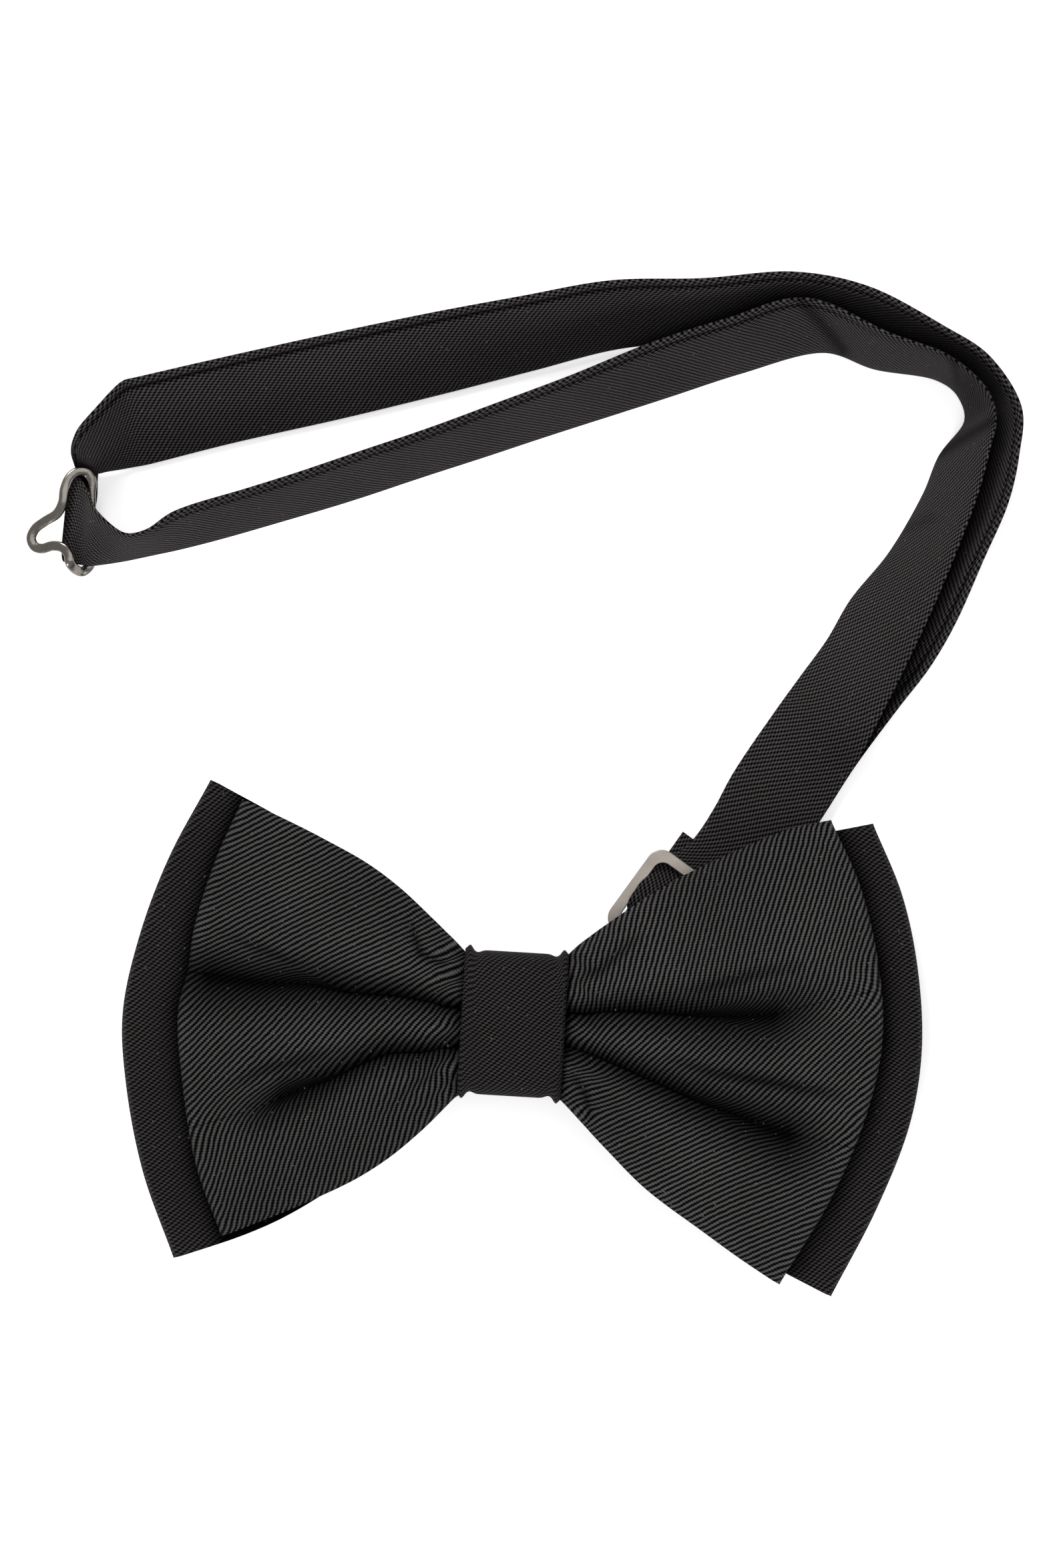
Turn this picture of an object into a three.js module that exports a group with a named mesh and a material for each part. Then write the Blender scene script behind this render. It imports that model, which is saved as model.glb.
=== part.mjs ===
// Pre-tied double bow tie with an adjustable neckband, lying face up.
// Millimetres, +Z up. The knot sits low in the middle; the neckband leaves it to the
// upper right, bends back to the left and ends in a wire hook.
import * as THREE from 'three';

// ---- Driving dimensions ----
const STRAP_WIDTH = 14.7;
const FABRIC = 0.6; // thickness of one pressed layer of strap or bow fabric
const GAP = 0.3; // clearance between neighbouring pieces

const BOW_CENTRE = [-1.6, -36.4];
const BOW_TURN = THREE.MathUtils.degToRad(-3.4);

const KNOT_WIDTH = 15.7;
const KNOT_HEIGHT = 21.3;
const KNOT_WALL = 0.8;
const KNOT_BACK = 0.9;
const KNOT_TOP = 15.6;

const WAIST_HALF_WIDTH = 7.9;
const WAIST_HALF_HEIGHT = 8.6;
const BINDING_SIZE = 0.6;
const BINDING_WIDTH = 3;

const SLIDE_CENTRE = [23.7, -20.4];
const SLIDE_TURN = THREE.MathUtils.degToRad(-36);
const SLIDE_WIDTH = 19;
const SLIDE_LENGTH = 14.5;
const SLIDE_BAR = 1.7;
const SLIDE_CORNER = 2.4;
const SLIDE_BOTTOM = 3.6;
const SLIDE_THICKNESS = 0.9;

const HOOK_WIRE = 1.25;
const HOOK_THICKNESS = 1.0;
const HOOK_BAR_X = -65.8;
const HOOK_BAR_Y = 40;
const HOOK_BAR_Z = 2.5;
const HOOK_RISE = 0.12; // the bar climbs this much per millimetre of Y

const EYE_BAR_CENTRE = [-24.5, -46.5];
const EYE_TURN = Math.atan2(-0.447, -0.894) - Math.PI / 2;
const EYE_WIDTH = 18.4;
const EYE_REACH = 9;
const EYE_WIRE = 1.2;
const EYE_Z = 1.7;
const EYE_THICKNESS = 0.9;

// ---- Materials ----
const plainTwill = new THREE.MeshStandardMaterial({ color: 0x161516, roughness: 0.85 });
const ribTwill = new THREE.MeshStandardMaterial({ color: 0x1c1e20, roughness: 0.75 });
const interlining = new THREE.MeshStandardMaterial({ color: 0xd9d5cc, roughness: 0.95 });
const thread = new THREE.MeshStandardMaterial({ color: 0x101010, roughness: 0.7 });
const nickel = new THREE.MeshStandardMaterial({ color: 0xb3ada6, roughness: 0.35, metalness: 1 });
const gunmetal = new THREE.MeshStandardMaterial({ color: 0x77736f, roughness: 0.25, metalness: 1 });

// ---- Building closed solids from rings of points ----
function signedVolume(points, triangles) {
  return triangles.reduce((sum, [a, b, c]) => {
    const cross = new THREE.Vector3().crossVectors(points[b], points[c]);
    return sum + points[a].dot(cross) / 6;
  }, 0);
}

function geometryOf(points, triangles) {
  const outward = signedVolume(points, triangles) > 0;
  const index = triangles.flatMap(([a, b, c]) => (outward ? [a, b, c] : [a, c, b]));
  const geometry = new THREE.BufferGeometry().setFromPoints(points);
  geometry.setIndex(index);
  geometry.computeVertexNormals();
  return geometry;
}

function quad(a, b, c, d) {
  return [[a, b, c], [a, c, d]];
}

// Side faces between neighbouring rings, each ring holding `count` points from `first` on.
function sides(rings, count, first, closed) {
  const faces = [];
  const spans = closed ? rings : rings - 1;
  for (let r = 0; r < spans; r += 1) {
    const here = first + r * count;
    const next = first + ((r + 1) % rings) * count;
    for (let i = 0; i < count; i += 1) {
      const j = (i + 1) % count;
      faces.push(...quad(here + i, here + j, next + j, next + i));
    }
  }
  return faces;
}

// A ring runs along its front face and returns along its back, so a cap is a strip of quads.
function stripCap(count, first, flip) {
  const faces = [];
  for (let i = 0; i < count / 2 - 1; i += 1) {
    const corners = [first + i, first + i + 1, first + count - 2 - i, first + count - 1 - i];
    faces.push(...quad(...(flip ? corners.reverse() : corners)));
  }
  return faces;
}

function solidOfRings(rings, closed = false) {
  const count = rings[0].length;
  const faces = sides(rings.length, count, 0, closed);
  if (!closed) {
    faces.push(...stripCap(count, 0, true));
    faces.push(...stripCap(count, (rings.length - 1) * count, false));
  }
  return geometryOf(rings.flat(), faces);
}

// A sleeve of cloth: an outer skin and an inner skin, joined at both open ends.
function sleeveOfRings(outer, inner) {
  const count = outer[0].length;
  const shift = outer.length * count;
  const faces = sides(outer.length, count, 0, false);
  const insideFaces = sides(inner.length, count, shift, false);
  faces.push(...insideFaces.map(([a, b, c]) => [a, c, b]));
  const last = (outer.length - 1) * count;
  for (let i = 0; i < count; i += 1) {
    const j = (i + 1) % count;
    faces.push(...quad(j, i, shift + i, shift + j));
    faces.push(...quad(last + i, last + j, shift + last + j, shift + last + i));
  }
  return geometryOf([...outer.flat(), ...inner.flat()], faces);
}

// ---- Ribbons: a flat band between two edge curves ----
// A station is [raised x, raised y, resting x, resting y, resting z, raised z]. Where the
// raised z is left out, the band's width gives it.
function edgesOf([rx, ry, lx, ly, lz, rz]) {
  const across = Math.hypot(rx - lx, ry - ly);
  const rise = Math.sqrt(Math.max(0, STRAP_WIDTH ** 2 - across ** 2));
  const top = rz === undefined ? lz + rise : rz;
  return [new THREE.Vector3(rx, ry, top), new THREE.Vector3(lx, ly, lz)];
}

function ribbon(pairs, thickness, steps, closed = false) {
  const raised = new THREE.CatmullRomCurve3(pairs.map((pair) => pair[0]), closed, 'centripetal');
  const resting = new THREE.CatmullRomCurve3(pairs.map((pair) => pair[1]), closed, 'centripetal');
  const at = (t) => [raised.getPoint(t), resting.getPoint(t)];
  const wrap = (t) => (closed ? (t + 1) % 1 : THREE.MathUtils.clamp(t, 0, 1));
  const rings = [];
  for (let k = 0; k < steps + (closed ? 0 : 1); k += 1) {
    const t = k / steps;
    const [high, low] = at(t);
    const [highA, lowA] = at(wrap(t - 0.002));
    const [highB, lowB] = at(wrap(t + 0.002));
    const along = highB.add(lowB).sub(highA).sub(lowA);
    const across = high.clone().sub(low);
    const lift = across.cross(along).setLength(thickness / 2);
    rings.push([
      high.clone().add(lift),
      low.clone().add(lift),
      low.clone().sub(lift),
      high.clone().sub(lift),
    ]);
  }
  return solidOfRings(rings, closed);
}

const strapPiece = (stations, steps) => ribbon(stations.map(edgesOf), FABRIC, steps);

// ---- Bow loops, in the bow's own frame: u along the bow, v across it ----
// A wing's edges swell towards its tip; the outer fold bulges by `bulge` in the middle.
const EDGE_SWELL = 0.55;
const FRONT_WINGS = {
  left: { top: [-42.5, 31.6], bottom: [-41.8, -34.0], bulge: -8.0 },
  right: { top: [46.3, 33.6], bottom: [42.2, -36.4], bulge: 11.0 },
};
const REAR_WINGS = {
  left: { top: [-47.5, 34.2], bottom: [-48.8, -37.8], bulge: -10.2 },
  right: { top: [52.2, 33.5], bottom: [50.0, -37.7], bulge: 10.4 },
};

const ramp = (s, end) => THREE.MathUtils.smoothstep(s, 0, end);
const FRONT_LEVELS = {
  back: (s) => THREE.MathUtils.lerp(5.9, 9.0, ramp(s, 0.25)),
  front: (s) => 12.7 + 2.4 * Math.sin(Math.PI * s ** 0.8) - 1.1 * s * s,
};
const REAR_LEVELS = {
  back: (s) => THREE.MathUtils.lerp(2.8, 5.95, ramp(s, 0.22)),
  front: (s) => THREE.MathUtils.lerp(5.6, 8.7, ramp(s, 0.22)),
};

const WING_STEPS = 9;
const HEIGHT_STEPS = 7;

function wingPoint(wing, s, w, inset) {
  const side = Math.sign(wing.bulge);
  const half = (w + 1) / 2;
  const tip = THREE.MathUtils.lerp(wing.bottom[0], wing.top[0], half) + wing.bulge * (1 - w * w);
  const swell = s + EDGE_SWELL * s * (1 - s);
  const topEdge = THREE.MathUtils.lerp(WAIST_HALF_HEIGHT, wing.top[1], swell);
  const bottomEdge = THREE.MathUtils.lerp(-WAIST_HALF_HEIGHT, wing.bottom[1], swell);
  const u = THREE.MathUtils.lerp(side * WAIST_HALF_WIDTH, tip - side * inset, s);
  return [u, THREE.MathUtils.lerp(bottomEdge, topEdge, half)];
}

// One ring across both wings: along the front from left to right, and back along the rear.
function bowRing(wings, levels, w, inset) {
  const reach = [];
  for (let i = 0; i <= WING_STEPS; i += 1) reach.push(i / WING_STEPS);
  const panel = [
    ...reach.slice().reverse().map((s) => ({ wing: wings.left, s })),
    ...reach.map((s) => ({ wing: wings.right, s })),
  ];
  const row = (level, offset) => panel.map(({ wing, s }) => {
    const [u, v] = wingPoint(wing, s, w, inset);
    return new THREE.Vector3(u, v, level(s) + offset);
  });
  return [...row(levels.front, -inset), ...row(levels.back, inset).reverse()];
}

function bowRings(wings, levels, inset, reach = 1) {
  const rings = [];
  for (let k = 0; k <= HEIGHT_STEPS; k += 1) {
    rings.push(bowRing(wings, levels, reach * (2 * k / HEIGHT_STEPS - 1), inset));
  }
  return rings;
}

function bowLoop(wings, levels) {
  return sleeveOfRings(bowRings(wings, levels, 0), bowRings(wings, levels, FABRIC));
}

function bowFilling(wings, levels) {
  return solidOfRings(bowRings(wings, levels, FABRIC + GAP, 0.96));
}

// ---- Outlines ----
function roundedRectangle(width, height, radius, x = 0, y = 0) {
  const shape = new THREE.Path();
  const corners = [[1, -1, -90], [1, 1, 0], [-1, 1, 90], [-1, -1, 180]];
  corners.forEach(([sx, sy, start]) => {
    const from = THREE.MathUtils.degToRad(start);
    const cx = x + sx * (width / 2 - radius);
    const cy = y + sy * (height / 2 - radius);
    shape.absarc(cx, cy, radius, from, from + Math.PI / 2, false);
  });
  return shape;
}

function plate(outline, holes, thickness) {
  const shape = new THREE.Shape(outline.getPoints(5).slice(0, -1));
  holes.forEach((hole) => shape.holes.push(new THREE.Path(hole.getPoints(4).slice(0, -1))));
  return new THREE.ExtrudeGeometry(shape, { depth: thickness, bevelEnabled: false, curveSegments: 5 });
}

// A band bent round the knot or the waist: a ring in the v-z plane, extruded along u.
function hoop(halfHeight, bottom, top, wall, width, radius) {
  const middle = (bottom + top) / 2;
  const height = top - bottom;
  const outline = roundedRectangle(2 * halfHeight, height, radius, 0, middle);
  const inside = roundedRectangle(
    2 * (halfHeight - wall), height - 2 * wall, Math.max(radius - wall, 0.2), 0, middle);
  const geometry = plate(outline, [inside], width);
  geometry.translate(0, 0, -width / 2);
  geometry.rotateX(Math.PI / 2);
  geometry.rotateZ(Math.PI / 2);
  return geometry;
}

// ---- Neckband routes ----
const innerRun = [
  [49.97, 2.71, 37.57, 10.51, 2.1, 2.1], [54.5, 11.7, 41.9, 16.5, 2.0], [57.1, 17.0, 45.7, 21.7, 1.6],
  [60.7, 24.6, 49.3, 27.8, 1.0], [64.7, 34.1, 55.2, 35.0, 0.6], [68.3, 43.9, 60.3, 43.8, 0.5],
  [70.1, 50.7, 62.8, 49.6, 0.5], [70.9, 55.2, 66.6, 54.7, 0.5], [69.5, 59.2, 65.6, 58.5, 0.5],
  [64.3, 63.9, 62.1, 61.1, 0.5], [54.9, 67.7, 53.1, 62.6, 0.5], [42.6, 72.9, 45.0, 65.1, 0.5],
  [30.3, 69.8, 32.7, 61.9, 0.5], [19.2, 66.2, 21.7, 58.3, 0.5], [6.4, 61.0, 8.6, 54.1, 0.5],
  [-9.3, 55.1, -7.4, 48.9, 0.5], [-25.3, 49.5, -23.5, 43.6, 0.5], [-41.2, 44.3, -39.6, 38.7, 0.5],
  [-52.5, 40.7, -51.7, 35.5, 0.5], [-56.5, 38.1, -56.4, 34.5, 0.5], [-59.9, 37.6, -60.7, 33.6, 0.6],
];
const hookTurn = [
  [-64.1, 41.1, -65.0, 32.9, 2.2, 13.0], [-65.3, 43.8, -66.2, 33.1, 2.9, 8.6],
  [-66.6, 45.3, -67.3, 33.5, 3.0, 4.8], [-67.5, 45.6, -68.0, 33.9, 1.8, 3.3],
  [-66.7, 46.0, -67.0, 34.6, 0.6, 1.6], [-67.7, 47.8, -64.4, 42.0, 0.45, 1.5],
  [-68.2, 50.5, -63.9, 47.4, 0.45, 4.8], [-67.0, 53.1, -62.8, 47.9, 0.5, 12.0],
];
const outerRun = [
  [-63.7, 57.7, -59.7, 47.8, 0.5], [-58.2, 61.3, -53.2, 49.0, 0.5], [-46.1, 64.2, -43.6, 51.5, 0.5],
  [-30.3, 67.5, -27.5, 55.1, 0.5], [-13.7, 70.9, -11.5, 59.0, 0.5], [-0.4, 73.3, 1.6, 62.4, 0.5],
  [12.9, 75.6, 14.1, 65.6, 0.5], [26.7, 75.9, 27.7, 67.0, 0.5], [40.8, 76.8, 39.8, 68.8, 0.5],
  [51.9, 74.6, 49.3, 67.8, 0.5], [62.9, 68.6, 60.4, 63.8, 0.5], [69.9, 64.0, 66.9, 60.2, 0.5],
  [74.5, 56.7, 69.9, 55.2, 0.5], [74.2, 49.6, 68.1, 48.7, 0.5], [72.7, 42.4, 65.1, 42.0, 0.5],
  [69.1, 33.9, 60.3, 34.4, 0.5], [64.9, 24.1, 53.5, 28.3, 0.5], [61.1, 17.5, 49.0, 22.4, 0.5],
  [56.4, 11.3, 43.6, 17.5, 0.4], [50.17, 2.81, 37.77, 10.61, 0.3, 0.3],
];
const innerStart = [
  [49.8, 2.5, 37.4, 10.3, 2.1, 2.1], [44.0, -6.2, 31.8, 2.0, 2.1, 2.1],
  [38.4, -16.0, 26.1, -7.9, 2.1, 2.1], [33.0, -20.3, 21.1, -11.7, 2.1, 2.1],
];
// The tail lies flat from the fold line, through the slide and behind the knot, and turns
// back over the catch eye's bar.
const TAIL_PATH = [
  [43.85, 6.55], [37.7, -3.0], [31.6, -12.6], [24.0, -20.1], [18.2, -27.4], [12.2, -32.0],
  [5.6, -34.2], [-1.6, -35.5], [-8.4, -37.8], [-17.5, -43.0], [-24.5, -46.5],
];
const TAIL_Z = 0.3;
const TAIL_DIRECTION = new THREE.Vector2(-0.894, -0.447);

function tailStations() {
  const path = new THREE.SplineCurve(TAIL_PATH.map(([x, y]) => new THREE.Vector2(x, y)));
  const stations = [];
  const add = (point, direction, z) => {
    const side = new THREE.Vector2(-direction.y, direction.x).multiplyScalar(STRAP_WIDTH / 2);
    stations.push([point.x + side.x, point.y + side.y, point.x - side.x, point.y - side.y, z, z]);
  };
  const steps = 12;
  for (let k = 0; k <= steps; k += 1) {
    add(path.getPoint(k / steps), path.getTangent(k / steps), TAIL_Z);
  }
  const turnBack = [
    [0.5, 0.33], [1.3, 0.6], [1.9, 1.1], [2.1, 1.8], [1.8, 2.6], [0.9, 3.1], [-1.5, 3.0], [-5, 1.7], [-11, 1.3],
  ];
  const end = path.getPoint(1);
  turnBack.forEach(([reach, z]) => {
    add(end.clone().addScaledVector(TAIL_DIRECTION, reach), TAIL_DIRECTION, z);
  });
  return stations;
}

// The strap's end goes over the slide's centre bar and turns back under itself.
const END_WRAP = [
  [6.9, 3.0], [4.6, 3.0], [2.6, 4.0], [1.1, 5.0], [-0.6, 5.15], [-2.2, 4.7],
  [-3.2, 3.4], [-3.1, 2.0], [-2.2, 1.3], [0.5, 1.2], [10.6, 1.2],
];
const endWrap = ribbon(
  END_WRAP.map(([y, z]) => [
    new THREE.Vector3(STRAP_WIDTH / 2, y, z),
    new THREE.Vector3(-STRAP_WIDTH / 2, y, z),
  ]), FABRIC, 30);

// ---- Metal ----
const slotLength = SLIDE_LENGTH / 2 - SLIDE_BAR - 1;
const slot = (sign) => roundedRectangle(
  SLIDE_WIDTH - 2 * SLIDE_BAR, slotLength, 0.9, 0, sign * (1 + slotLength / 2));
const slide = plate(
  roundedRectangle(SLIDE_WIDTH, SLIDE_LENGTH, SLIDE_CORNER), [slot(1), slot(-1)], SLIDE_THICKNESS);

const eye = plate(
  roundedRectangle(EYE_WIDTH, EYE_REACH + EYE_WIRE, 1.8, 0, EYE_REACH / 2),
  [roundedRectangle(EYE_WIDTH - 2 * EYE_WIRE, EYE_REACH - EYE_WIRE, 0.8, 0, EYE_REACH / 2)],
  EYE_THICKNESS);

// Centre line of the hook's wire: the bar on the right, the nose on the left.
const HOOK_LINE = [
  [-65.8, 44.5], [-65.9, 46.8], [-66.9, 47.4], [-68.4, 46.3], [-69.1, 44.4], [-69.2, 42.5],
  [-70.0, 40.8], [-72.1, 39.7], [-73.7, 38.5], [-74.4, 37.1], [-73.8, 35.9], [-72.6, 35.4],
  [-70.9, 35.6], [-69.5, 35.4], [-69.0, 34.2], [-68.7, 32.8], [-67.7, 31.9], [-66.4, 31.9],
  [-65.8, 33.0], [-65.8, 36.5], [-65.8, 40.5],
];

function hook() {
  const line = new THREE.CatmullRomCurve3(
    HOOK_LINE.map(([x, y]) => new THREE.Vector3(x - HOOK_BAR_X, y - HOOK_BAR_Y, 0)), true, 'centripetal');
  const steps = 64;
  const rings = [];
  for (let k = 0; k < steps; k += 1) {
    const point = line.getPoint(k / steps);
    const tangent = line.getTangent(k / steps);
    const side = new THREE.Vector3(-tangent.y, tangent.x, 0);
    const ring = [];
    for (let i = 0; i < 6; i += 1) {
      const angle = (i + 0.5) * Math.PI / 3;
      ring.push(point.clone()
        .addScaledVector(side, HOOK_WIRE / 2 * Math.cos(angle) / Math.cos(Math.PI / 6))
        .setZ(HOOK_THICKNESS / 2 * Math.sin(angle)));
    }
    rings.push(ring);
  }
  return solidOfRings(rings, true);
}

// ---- Assembly ----
const bowTie = new THREE.Group();

function addMesh(parent, name, geometry, material) {
  const mesh = new THREE.Mesh(geometry, material);
  mesh.name = name;
  parent.add(mesh);
  return mesh;
}

const bow = new THREE.Group();
bow.position.set(BOW_CENTRE[0], BOW_CENTRE[1], 0);
bow.rotation.z = BOW_TURN;
bowTie.add(bow);
addMesh(bow, 'front_bow_loop', bowLoop(FRONT_WINGS, FRONT_LEVELS), ribTwill);
addMesh(bow, 'front_bow_interlining', bowFilling(FRONT_WINGS, FRONT_LEVELS), interlining);
addMesh(bow, 'rear_bow_loop', bowLoop(REAR_WINGS, REAR_LEVELS), plainTwill);
addMesh(bow, 'rear_bow_interlining', bowFilling(REAR_WINGS, REAR_LEVELS), interlining);
const knot = hoop(KNOT_HEIGHT / 2, KNOT_BACK, KNOT_TOP, KNOT_WALL, KNOT_WIDTH, 2);
addMesh(bow, 'knot_wrap', knot, plainTwill);
const bindingHalfHeight = WAIST_HALF_HEIGHT + GAP + BINDING_SIZE;
const binding = hoop(bindingHalfHeight, 1.95, 13.65, BINDING_SIZE, BINDING_WIDTH, 0.8);
addMesh(bow, 'waist_binding_thread', binding, thread);
const padding = addMesh(bow, 'knot_padding', new THREE.BoxGeometry(14, 16, 0.5), interlining);
padding.position.z = 14.22;

const slideGroup = new THREE.Group();
slideGroup.position.set(SLIDE_CENTRE[0], SLIDE_CENTRE[1], 0);
slideGroup.rotation.z = SLIDE_TURN;
bowTie.add(slideGroup);
addMesh(slideGroup, 'slide_adjuster', slide, nickel).position.z = SLIDE_BOTTOM;
addMesh(slideGroup, 'neckband_sewn_end', endWrap, plainTwill);

addMesh(bowTie, 'neckband_tail', strapPiece(tailStations(), 56), plainTwill);
addMesh(bowTie, 'neckband_inner_start', strapPiece(innerStart, 6), plainTwill);
const loopStations = [...innerRun, ...hookTurn, ...outerRun];
addMesh(bowTie, 'neckband_loop', strapPiece(loopStations, 144), plainTwill);

const hookMesh = addMesh(bowTie, 'hook', hook(), gunmetal);
hookMesh.position.set(HOOK_BAR_X, HOOK_BAR_Y, HOOK_BAR_Z);
hookMesh.rotation.x = Math.atan(HOOK_RISE);

const eyeMesh = addMesh(bowTie, 'catch_eye', eye, gunmetal);
eyeMesh.position.set(EYE_BAR_CENTRE[0], EYE_BAR_CENTRE[1], EYE_Z - EYE_THICKNESS / 2);
eyeMesh.rotation.z = EYE_TURN;

export default bowTie;
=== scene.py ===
"""A pre-tied double bow tie lying face up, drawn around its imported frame.

Lengths in this script are millimetres unless a name ends in _m; MM turns them into metres.
The neckband is one strip of cloth, built as a single ruled band and cut where it folds.
"""
import math

import bpy
import numpy as np
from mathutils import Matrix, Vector


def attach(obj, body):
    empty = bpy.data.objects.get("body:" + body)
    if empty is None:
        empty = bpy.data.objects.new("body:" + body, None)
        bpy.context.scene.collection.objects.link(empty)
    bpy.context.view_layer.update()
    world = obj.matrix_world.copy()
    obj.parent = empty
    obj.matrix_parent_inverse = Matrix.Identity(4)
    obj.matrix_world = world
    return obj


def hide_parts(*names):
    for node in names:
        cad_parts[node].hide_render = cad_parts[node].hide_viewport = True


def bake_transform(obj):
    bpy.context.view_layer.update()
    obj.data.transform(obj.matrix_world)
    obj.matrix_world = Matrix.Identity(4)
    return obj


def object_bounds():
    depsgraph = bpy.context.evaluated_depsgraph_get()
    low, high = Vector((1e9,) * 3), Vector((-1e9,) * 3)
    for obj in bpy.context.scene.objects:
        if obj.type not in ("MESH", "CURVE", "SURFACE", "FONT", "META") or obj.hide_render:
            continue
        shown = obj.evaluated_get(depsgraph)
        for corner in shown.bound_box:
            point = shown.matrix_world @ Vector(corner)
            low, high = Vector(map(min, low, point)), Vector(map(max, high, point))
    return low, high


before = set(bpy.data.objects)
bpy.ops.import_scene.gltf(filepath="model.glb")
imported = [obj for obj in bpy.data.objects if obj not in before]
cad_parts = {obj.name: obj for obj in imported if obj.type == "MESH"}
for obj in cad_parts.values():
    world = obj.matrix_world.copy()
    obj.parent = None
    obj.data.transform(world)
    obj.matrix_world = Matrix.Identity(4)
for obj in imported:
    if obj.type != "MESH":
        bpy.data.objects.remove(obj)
cad_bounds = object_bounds()

MM = 0.001

# ---- Driving sizes, as in the frame ----
STRAP_WIDTH = 14.7
STRAP_THICKNESS = 1.05
SEAM_INSET = 1.35
BOW_CENTRE = (-1.6, -36.4)
BOW_TURN = math.radians(-3.4)
SLIDE_CENTRE = (23.7, -20.4)
SLIDE_TURN = math.radians(-36.0)
EYE_CENTRE = (-24.5, -46.5)
EYE_TURN = math.atan2(-0.447, -0.894) - math.pi / 2
FOLD_POINT = (43.8, 6.5)
FOLD_ALONG = (0.5325, 0.8465)
FOLD_REACH = 6.0
SEWN_END_THICKNESS = 0.6
BOW_CLOTH = 0.4
KNOT_CLOTH = 0.7
FRONT_MIDDLE_Z = 9.9  # height at which each bow's outer fold turns under
REAR_MIDDLE_Z = 7.0


# ---- Mesh building ----
def make_mesh(name, points_mm, faces, material, weave=None):
    """A smooth mesh; a cloth one also gets its weave: across and along the ribs, and painted shade."""
    mesh = bpy.data.meshes.new(name)
    mesh.from_pydata([tuple(p) for p in np.asarray(points_mm) * MM], [], faces)
    mesh.update()
    mesh.polygons.foreach_set("use_smooth", [True] * len(mesh.polygons))
    mesh.materials.append(material)
    obj = bpy.data.objects.new(name, mesh)
    bpy.context.scene.collection.objects.link(obj)
    if weave is not None:
        layer = mesh.attributes.new("weave", "FLOAT_VECTOR", "POINT")
        layer.data.foreach_set("vector", np.asarray(weave, dtype=np.float32).ravel())
    return obj


def grid_faces(rows, columns, wrap_columns=False, start=0, flip=False):
    faces = []
    spans = columns if wrap_columns else columns - 1
    for r in range(rows - 1):
        for c in range(spans):
            d = (c + 1) % columns
            a = start + r * columns
            b = start + (r + 1) * columns
            face = (a + c, a + d, b + d, b + c)
            faces.append(face[::-1] if flip else face)
    return faces


def turned(points, centre, angle):
    """Points of a local frame, turned about Z and moved to its centre."""
    points = np.array(points, dtype=float)
    c, s = math.cos(angle), math.sin(angle)
    x = centre[0] + c * points[..., 0] - s * points[..., 1]
    y = centre[1] + s * points[..., 0] + c * points[..., 1]
    return np.stack([x, y, points[..., 2]], axis=-1)


def diagonal(along, across, angle=45.0):
    """Rib coordinates of a twill whose ribs lie at `angle` to the `along` direction."""
    a = math.radians(angle)
    ribs = -np.asarray(along) * math.sin(a) + np.asarray(across) * math.cos(a)
    yarn = np.asarray(along) * math.cos(a) + np.asarray(across) * math.sin(a)
    return ribs, yarn


def run_along(points):
    """Distance along a polyline at each of its points."""
    return running_total(np.linalg.norm(np.diff(points, axis=0), axis=1))


def running_total(steps):
    return np.concatenate([[0], np.cumsum(steps)])


def directions(steps):
    """Steps scaled to unit length."""
    return steps / np.linalg.norm(steps, axis=1)[:, None]


def smoothstep(x, low, high):
    t = np.clip((np.asarray(x, dtype=float) - low) / (high - low), 0, 1)
    return t * t * (3 - 2 * t)


def catmull_rom(control, samples_per_span):
    """Centripetal Catmull-Rom through the control rows, which may hold any columns."""
    p = np.asarray(control, dtype=float)
    ends = [2 * p[0] - p[1]], [2 * p[-1] - p[-2]]
    q = np.vstack([ends[0], p, ends[1]])
    out = []
    for i in range(len(p) - 1):
        p0, p1, p2, p3 = q[i:i + 4]
        knots = [0.0]
        for a, b in ((p0, p1), (p1, p2), (p2, p3)):
            knots.append(knots[-1] + max(np.linalg.norm(b - a), 1e-6) ** 0.5)
        t0, t1, t2, t3 = knots
        count = samples_per_span[i]
        for k in range(count + (1 if i == len(p) - 2 else 0)):
            t = t1 + (t2 - t1) * k / count
            a1 = (t1 - t) / (t1 - t0) * p0 + (t - t0) / (t1 - t0) * p1
            a2 = (t2 - t) / (t2 - t1) * p1 + (t - t1) / (t2 - t1) * p2
            a3 = (t3 - t) / (t3 - t2) * p2 + (t - t2) / (t3 - t2) * p3
            b1 = (t2 - t) / (t2 - t0) * a1 + (t - t0) / (t2 - t0) * a2
            b2 = (t3 - t) / (t3 - t1) * a2 + (t - t1) / (t3 - t1) * a3
            out.append((t2 - t) / (t2 - t1) * b1 + (t - t1) / (t2 - t1) * b2)
    return np.array(out)


def soft_noise(x, y, scale, seed):
    """Smooth, repeatable waviness from a few sines."""
    rng = np.random.default_rng(seed)
    total = np.zeros(np.broadcast(x, y).shape)
    for _ in range(5):
        angle, phase = rng.uniform(0, 2 * math.pi, 2)
        pitch = scale * rng.uniform(0.6, 1.7)
        total += np.sin((x * math.cos(angle) + y * math.sin(angle)) * 2 * math.pi / pitch + phase)
    return total / 5


# ---- Materials ----
# Near black for the painted shade in folds and under parts of the cloth.
PAINTED_FOLD_SHADE = (0.0006, 0.0006, 0.0006, 1)
LINT = (0.30, 0.28, 0.26, 1)
CLOTH_SPECULAR = 0.04


def new_material(name):
    material = bpy.data.materials.new(name)
    material.use_nodes = True
    return material, material.node_tree.nodes, material.node_tree.links


def math_node(nodes, links, operation, *values):
    node = nodes.new("ShaderNodeMath")
    node.operation = operation
    for i, value in enumerate(values):
        if isinstance(value, (int, float)):
            node.inputs[i].default_value = value
        else:
            links.new(value, node.inputs[i])
    return node.outputs[0]


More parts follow.
